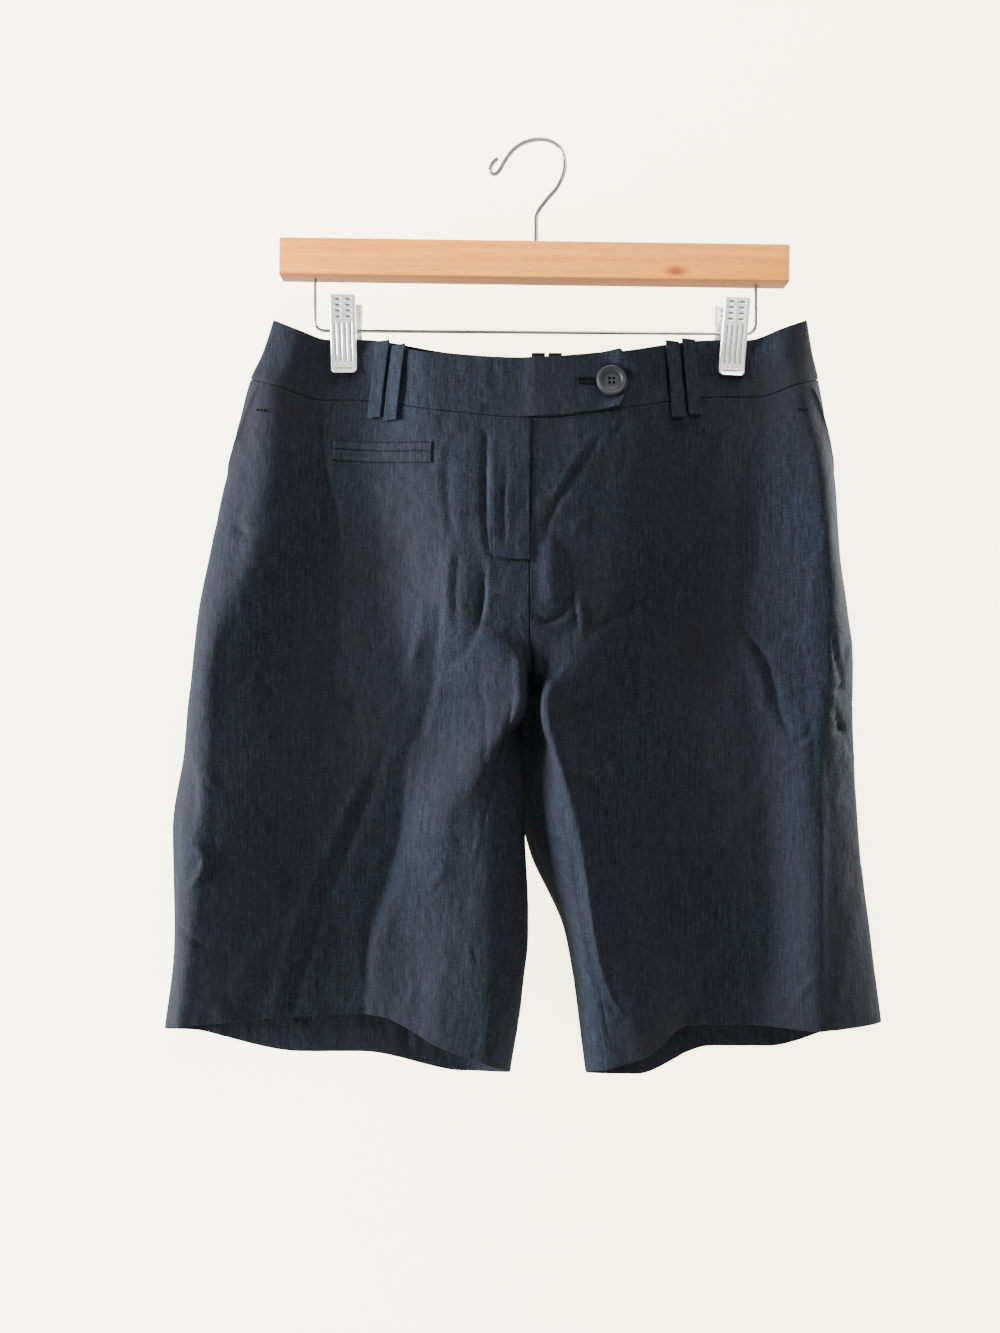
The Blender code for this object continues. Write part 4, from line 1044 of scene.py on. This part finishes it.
def belt_loops():
    for name, face, x_top, x_foot in LOOPS:
        surface = FRONT_FACE if face == "front" else BACK_FACE
        top = surface.drop_of_row(x_top, 0) - LOOP_ABOVE[face]
        foot = surface.drop_of_row(x_foot, BAND.stop - 1) + LOOP_BELOW_SEAM
        points, normals = strap(surface, x_top, top, x_foot, foot)
        cloth(f"cloth_{name}", name, points, normals, LOOP_THICKNESS, CHAMBRAY_LAID)


def patch(left, right, top, foot, rows, columns, distance, fall=0.0):
    """A patch laid on the front, whose end towards +X lies lower by its fall."""
    across = np.linspace(0, 1, columns)
    down = np.linspace(0, 1, rows)[:, None]
    x = left + (right - left) * across + 0 * down
    return FRONT_FACE.laid(x, top + (foot - top) * down + fall * across, distance)


def welt_pocket():
    for name, top, foot in WELTS:
        distance = resting(WELT_THICKNESS) - WELT_SUNK
        points, normals = patch(WELT_LEFT, WELT_RIGHT, top, foot, 4, 34, distance, WELT_FALL)
        cloth(f"cloth_{name}", name, points, normals, WELT_THICKNESS, CHAMBRAY_LAID)
    # The backing under the welts is painted about an eighth as bright as the cloth: painted shade that
    # shows as dark lines round the lips and in the slit
    points, normals = patch(
        WELT_LEFT - WELT_MARGIN, WELT_RIGHT + WELT_MARGIN, WELTS[0][1] - WELT_MARGIN,
        WELTS[1][2] + WELT_MARGIN, 10, 34, CLOTH_THICKNESS / 2 + 0.15, WELT_FALL,
    )
    cloth("cloth_welt_backing_in_shade", None, points, normals, WELT_BACKING, SHADED_LINING)


def fly():
    on_cloth = resting(FLY_THICKNESS) - FLY_SUNK
    points, normals = patch(FLY_OUTER, FLY_INNER, FLY_TOP, FLY_FOOT, 48, 14, on_cloth)
    cloth("cloth_fly_placket", "fly_placket", points, normals, FLY_THICKNESS)
    points, normals = patch(
        ZIP_CENTRE - ZIP_HALF_WIDTH, ZIP_CENTRE + ZIP_HALF_WIDTH, FLY_TOP + 1, ZIP_FOOT, 40, 9,
        -resting(ZIP_THICKNESS),
    )
    cloth("zip_tape", "fly_zip", points, normals, ZIP_THICKNESS * 0.6, ZIP_TAPE, "zip_tape")


def seam_allowances():
    """Narrow strips inside every seam, which is where the panels' edges are turned in."""
    strips = {}
    for side, grid in LEGS.items():
        below = grid[CROTCH_ROW + 2 :]
        strips[f"waist_{side}"] = grid[BAND.stop - 3 : BAND.stop + 3]
        strips[f"side_{side}"] = grid[LEG, SIDE_COLUMN - 3 : SIDE_COLUMN + 4]
        strips[f"inseam_{side}"] = np.concatenate([below[:, -3:], below[:, 1:3]], axis=1)
    strips["centre_front"] = np.concatenate([RIGHT[:, 2::-1], LEFT[:, 1:3]], axis=1)
    strips["centre_back"] = np.concatenate([RIGHT[:, -3:], LEFT[:, -2:-4:-1]], axis=1)
    for name, grid in strips.items():
        points, normals = np.split(grid, 2, axis=-1)
        inside = points - normals * ALLOWANCE_DEPTH
        cloth(f"allowance_{name}", None, inside, normals, ALLOWANCE_THICKNESS)


def stitches(name, rows, thickness):
    """Short raised threads. Each row gives its start and end (x, drop), its distance from the
    cloth's middle, and its number of threads."""
    shape = bmesh.new()
    along, sizes, rises = np.array(THREAD_STATIONS).T
    turns = np.linspace(0, 2 * math.pi, THREAD_SIDES, endpoint=False)[:, None]
    for start, end, distance, count in rows:
        start, end = np.array(start, float), np.array(end, float)
        for index in range(count):
            centres = start + (end - start) * (index + along[:, None]) / count
            points, normals = FRONT_FACE.laid(*centres.T, distance)
            sideways = unit(np.cross(points[-1] - points[0], normals[2]))
            rings = []
            for point, normal, size, rise in zip(points, normals, sizes, rises):
                around = (sideways * np.cos(turns) + normal * np.sin(turns)) * size / 2
                places = point + (normal * rise + around) * thickness
                rings.append([shape.verts.new(place * MM) for place in places])
            for near, far in zip(rings, rings[1:]):
                for corner in range(THREAD_SIDES):
                    following = (corner + 1) % THREAD_SIDES
                    shape.faces.new((near[corner], near[following], far[following], far[corner]))
            shape.faces.new(rings[0][::-1])
            shape.faces.new(rings[-1])
    bmesh.ops.recalc_face_normals(shape, faces=shape.faces)
    made = add_mesh(name, [], [], THREAD)
    shape.to_mesh(made.data)
    shape.free()
    made.data.shade_smooth()
    stand_for(made, None)


def sewing():
    """The bar across the fly's foot, the pocket corners' bars and the buttonhole's edge."""
    on_cloth = CLOTH_THICKNESS / 2
    on_fly = resting(FLY_THICKNESS) - FLY_SUNK + FLY_THICKNESS / 2 + 0.1
    rows = [
        ((-31.2, 294.3), (-6.8, 296.9), on_fly, 12),
        ((-31.0, 295.2), (-6.8, 297.6), on_fly - 0.3, 12),
        ((-36.0, 291.6), (-31.6, 294.4), on_cloth + 0.2, 2),
    ]
    stitches("stitches_fly_foot", rows, 0.55)
    for name, left, right, drop in (("right", -193.0, -185.0, 191.4), ("left", 176.0, 184.0, 190.6)):
        rows = []
        for index in range(4):
            inset, down = 0.2 * index, drop + 0.38 * index
            rows.append(((left + inset, down), (right - inset, down + 0.2), on_cloth + 0.45, 3))
        stitches(f"stitches_pocket_corner_{name}", rows, 0.5)
    rows = []
    for index in range(BUTTONHOLE_THREADS):
        x = BUTTONHOLE_START + index * BUTTONHOLE_PITCH
        reach = 2.9 if 1 < index < BUTTONHOLE_THREADS - 2 else 2.2
        for sign in (-1, 1):
            ends = [(x, BUTTON_DROP + sign * away) for away in (0.2, reach)]
            rows.append((*ends, TAB_LIFT + on_cloth + 0.4, 1))
    stitches("stitches_buttonhole", rows, 1.0)


def bar_face(x, up):
    """Height of the bar's top (up = 1) or underside (up = -1) at this x."""
    centre_x, _, centre_z = BAR_CENTRE
    return centre_z - math.tan(HANGER_TILT) * (x - centre_x) + up * BAR_SIZE[2] / 2 / math.cos(HANGER_TILT)


def wire_drop(x):
    return LOWER_WIRE_DROP + math.tan(WIRE_TILT) * (x - LOWER_WIRE_CENTRE)


def wire(name, path, diameter, material, sides=5):
    curve = bpy.data.curves.new(name, "CURVE")
    curve.dimensions = "3D"
    curve.bevel_depth = diameter / 2 * MM
    curve.bevel_resolution = sides
    curve.use_fill_caps = True
    spline = curve.splines.new("POLY")
    spline.points.add(len(path) - 1)
    for point, place in zip(spline.points, path):
        point.co = (*(Vector(place) * MM), 1)
    spline.use_smooth = True
    curve.materials.append(material)
    return add(name, curve)


def hanger_bar():
    bar = add_mesh("wood_bar", [], [], BEECH)
    shape = bmesh.new()
    bmesh.ops.create_cube(shape, size=1)
    bmesh.ops.transform(shape, matrix=Matrix.Diagonal((*(Vector(BAR_SIZE) * MM), 1)), verts=shape.verts)
    bmesh.ops.bevel(
        shape, geom=list(shape.edges), offset=BAR_EDGE * MM, segments=4, profile=0.5, affect="EDGES"
    )
    shape.to_mesh(bar.data)
    shape.free()
    bar.data.shade_smooth()
    bar.data.set_sharp_from_angle(angle=math.radians(40))
    bar.location = Vector(BAR_CENTRE) * MM
    bar.rotation_euler = (0, HANGER_TILT, 0)
    stand_for(bar, "hanger_bar")


def hanger_wires():
    foot = HOOK_POINTS[0][0]
    points = [(foot, bar_face(foot, 1) - WIRE_IN_BAR), *HOOK_POINTS[1:]]
    path = [(x, 0, z) for x, z in smooth_path(points, 8)]
    stand_for(wire("hook_wire", path, HOOK_WIRE, WIRE_STEEL), "hanger_hook")
    path = []
    for sign in (-1, 1):
        x = LOWER_WIRE_CENTRE + sign * LOWER_WIRE_HALF_SPAN
        corner = [(x, 0, bar_face(x, -1) + WIRE_IN_BAR)]
        for turn in np.linspace(0, math.pi / 2, 12):
            inwards, up = LOWER_WIRE_BEND * (1 - math.cos(turn)), LOWER_WIRE_BEND * (1 - math.sin(turn))
            corner.append((x - sign * inwards, 0, up - wire_drop(x)))
        path += corner[::-sign]
    stand_for(wire("lower_wire", path, LOWER_WIRE, WIRE_STEEL), "hanger_wire")


def dome(away):
    """1 at the middle of a pressed shape and 0 from its edge on, where away is 1."""
    return max(0.0, 1 - away**2)


def pressed(x, drop):
    """How far the plate's face is pressed in or out here."""
    height = 0.0
    for centre in DENT_COLUMNS:
        for row in DENT_DROPS:
            height -= DENT_DEPTH * dome(math.hypot((x - centre) / 2.9, (drop - row) / 1.3)) ** 0.8
    along = min(max((drop + 4.5) / 1.5, 0), 1) * min(max((23.6 - drop) / 1.5, 0), 1)
    for centre in GROOVE_PLACES:
        height -= GROOVE_DEPTH * dome((x - centre) / 0.95) * along
        height -= TOOTH_DEPTH * dome(math.hypot((x - centre) / 1.1, (drop - 24.4) / 0.8))
    return height - LIP_DEPTH * dome((drop - 26.6) / 0.7) * min(max((7.2 - abs(x)) / 0.8, 0), 1)


def quarter_round(share):
    """How far a rounded corner draws in, as a share of its radius, from 0 to nearly 1."""
    return 1 - np.sqrt(1 - np.clip(share, 0, 1) ** 2 * 0.99)


def clip_plate(name, centre, lean, facing, wider):
    """Half a clip, pressed from sheet: a shallow channel with finger dents and long grooves."""
    rows = np.concatenate([np.linspace(*span) for span in PLATE_SPANS])
    table = np.array(PLATE_ROWS)
    face, flange = sampled(table[:, 1:], table[:, 0], rows).T
    half = (PLATE_WIDTH + wider - CLIP_STEEL) / 2
    half = half - PLATE_FOOT_ROUND * quarter_round((rows - 26.2) / 4.0)
    half = half - quarter_round((-20.6 - rows) / 1.4)
    points = []
    normals = []
    depths = []
    for drop, depth, fold, reach in zip(rows, face, flange, half):
        middle = depth + CLIP_STEEL / 2
        tip = depth - fold
        bend = min(1.0, (middle - tip) * 0.7)
        outline = [(-reach, tip, -1, 0), (-reach, (tip + middle - bend) / 2, -1, 0)]
        for turn in np.linspace(0, math.pi / 2, 5):
            cosine, sine = math.cos(turn), math.sin(turn)
            outline.append((-reach + bend * (1 - cosine), middle - bend * (1 - sine), -cosine, sine))
        flat = np.linspace(-reach + bend, reach - bend, PLATE_COLUMNS + 2)[1:-1]
        outline += [(x, middle, 0, 1) for x in flat]
        outline += [(-x, y, -nx, ny) for x, y, nx, ny in outline[6::-1]]
        moved = [pressed(x, drop) if ny > 0.99 else 0.0 for x, _, _, ny in outline]
        points.append([(x, (y + move) * facing, -drop) for (x, y, _, _), move in zip(outline, moved)])
        normals.append([(nx, ny * facing, 0) for _, _, nx, ny in outline])
        # How deep each point is pressed in, which the steel reads for its painted shade in the dents and
        # grooves
        depths.append([(-move, 0.0) for move in moved])
    made = wall(name, np.array(points), np.array(normals), CLIP_STEEL, STEEL, np.array(depths))
    made.data.set_sharp_from_angle(angle=math.radians(50))
    made.location = (centre * MM, 0, -wire_drop(centre) * MM)
    made.rotation_euler = (0, lean, 0)
    return made


def clips():
    coil = SPRING_OUTER - SPRING_INNER
    radius = (SPRING_OUTER + SPRING_INNER) / 2
    whole = SPRING_TURNS * 2 * math.pi
    path = [
        ((angle / whole - 0.5) * (SPRING_LENGTH - coil), radius * math.cos(angle), radius * math.sin(angle))
        for angle in np.linspace(0, whole, SPRING_TURNS * 16 + 1)
    ]
    for name, centre, lean, ear_shift in CLIPS:
        front = clip_plate(f"{name}_plate_front", centre, lean, -1, 0)
        stand_for(front, f"{name}_front")
        back = clip_plate(f"{name}_plate_back", centre + ear_shift, lean, 1, BACK_PLATE_WIDER)
        stand_for(back, f"{name}_back")
        spring = wire(f"{name}_coil", path, coil, STEEL, 2)
        spring.location = (centre * MM, 0, -wire_drop(centre) * MM)
        spring.rotation_euler = (0, WIRE_TILT, 0)
        stand_for(spring, f"{name}_spring")


def paint(name, glowing):
    """Matt paint. The glowing kind is for a backdrop: it can't be seen from behind, casts no
    shadow, and is brighter to the camera than to the other pieces."""
    look = new_look(f"{name}_paint")
    place = look.place()
    colour = look.mix(look.grain(place, (1.2, 1.2, 1.2), 3.0), (0.86, 0.83, 0.77), (0.90, 0.875, 0.82))
    roller = look.grain(place, (260, 260, 260))
    if not glowing:
        return look.shade(colour, 0.85, bumps=((roller, 0.12),))
    glow = {
        "Emission Color": look.mix(look.stretch(look.axis(place, "X"), -0.35, 0.35), GLOW_LEFT, GLOW_RIGHT),
        "Emission Strength": look.stretch(
            look.light_path("Is Camera Ray"), 0, 1, WALL_GLOW * GLOW_CAST, WALL_GLOW
        ),
    }
    look.shade(colour, 0.85, bumps=((roller, 0.12),), **glow)
    behind = look.node("NewGeometry").outputs["Backfacing"]
    hidden = look.maths("MAXIMUM", behind, look.light_path("Is Shadow Ray"))
    see_through = look.node("BsdfTransparent").outputs[0]
    painted = look.tree.nodes["Principled BSDF"].outputs[0]
    either = look.node("MixShader", {0: hidden, 1: painted, 2: see_through}).outputs[0]
    look.fill(look.tree.nodes["Material Output"], {"Surface": either})
    return look.owner


def room():
    """A pale wall just behind the shorts, which can't be seen from behind, and a pale floor."""
    low, high = -ROOM_HALF, ROOM_HALF
    square = ((low, low), (high, low), (high, high), (low, high))
    upright = [(x, WALL_Y, FLOOR_Z if z == low else ROOM_TOP) for x, z in square]
    backdrop = add_mesh("wall", upright, [(0, 1, 2, 3)], paint("wall", True))
    backdrop.visible_diffuse = False
    level = [(x, y, FLOOR_Z) for x, y in square]
    add_mesh("floor", level, [(0, 1, 2, 3)], paint("floor", False))


def lights_and_camera():
    for name, place, size, power, colour in LIGHTS:
        lamp = bpy.data.lights.new(name, "AREA")
        lamp.shape = "RECTANGLE"
        lamp.size, lamp.size_y = size
        lamp.energy = power
        lamp.color = colour
        made = add(name, lamp)
        made.location = place
        made.rotation_euler = (Vector(LIT_PLACE) - Vector(place)).to_track_quat("-Z", "Y").to_euler()
    world = bpy.data.worlds.new("studio")
    bpy.context.scene.world = world
    look = Look(world)
    strength = look.stretch(look.light_path("Is Camera Ray"), 0, 1, WORLD_LIGHT, WORLD_SEEN)
    look.fill(look.tree.nodes["Background"], {"Color": WORLD_COLOUR, "Strength": strength})
    camera = add("camera", bpy.data.cameras.new("camera"))
    camera.location = CAMERA_PLACE
    camera.rotation_euler = (math.pi / 2, 0, 0)
    camera.data.lens = CAMERA_LENS
    camera.data.sensor_width = 36
    bpy.context.scene.camera = camera



def main():
    front_panels()
    back_panels()
    waistband()
    belt_loops()
    welt_pocket()
    fly()
    seam_allowances()
    sewing()
    hanger_bar()
    hanger_wires()
    clips()
    for node, finish in (("fly_zip_slider", STEEL), ("button", BUTTON)):
        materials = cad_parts[node].data.materials
        materials.clear()
        materials.append(finish)
    room()
    lights_and_camera()


main()
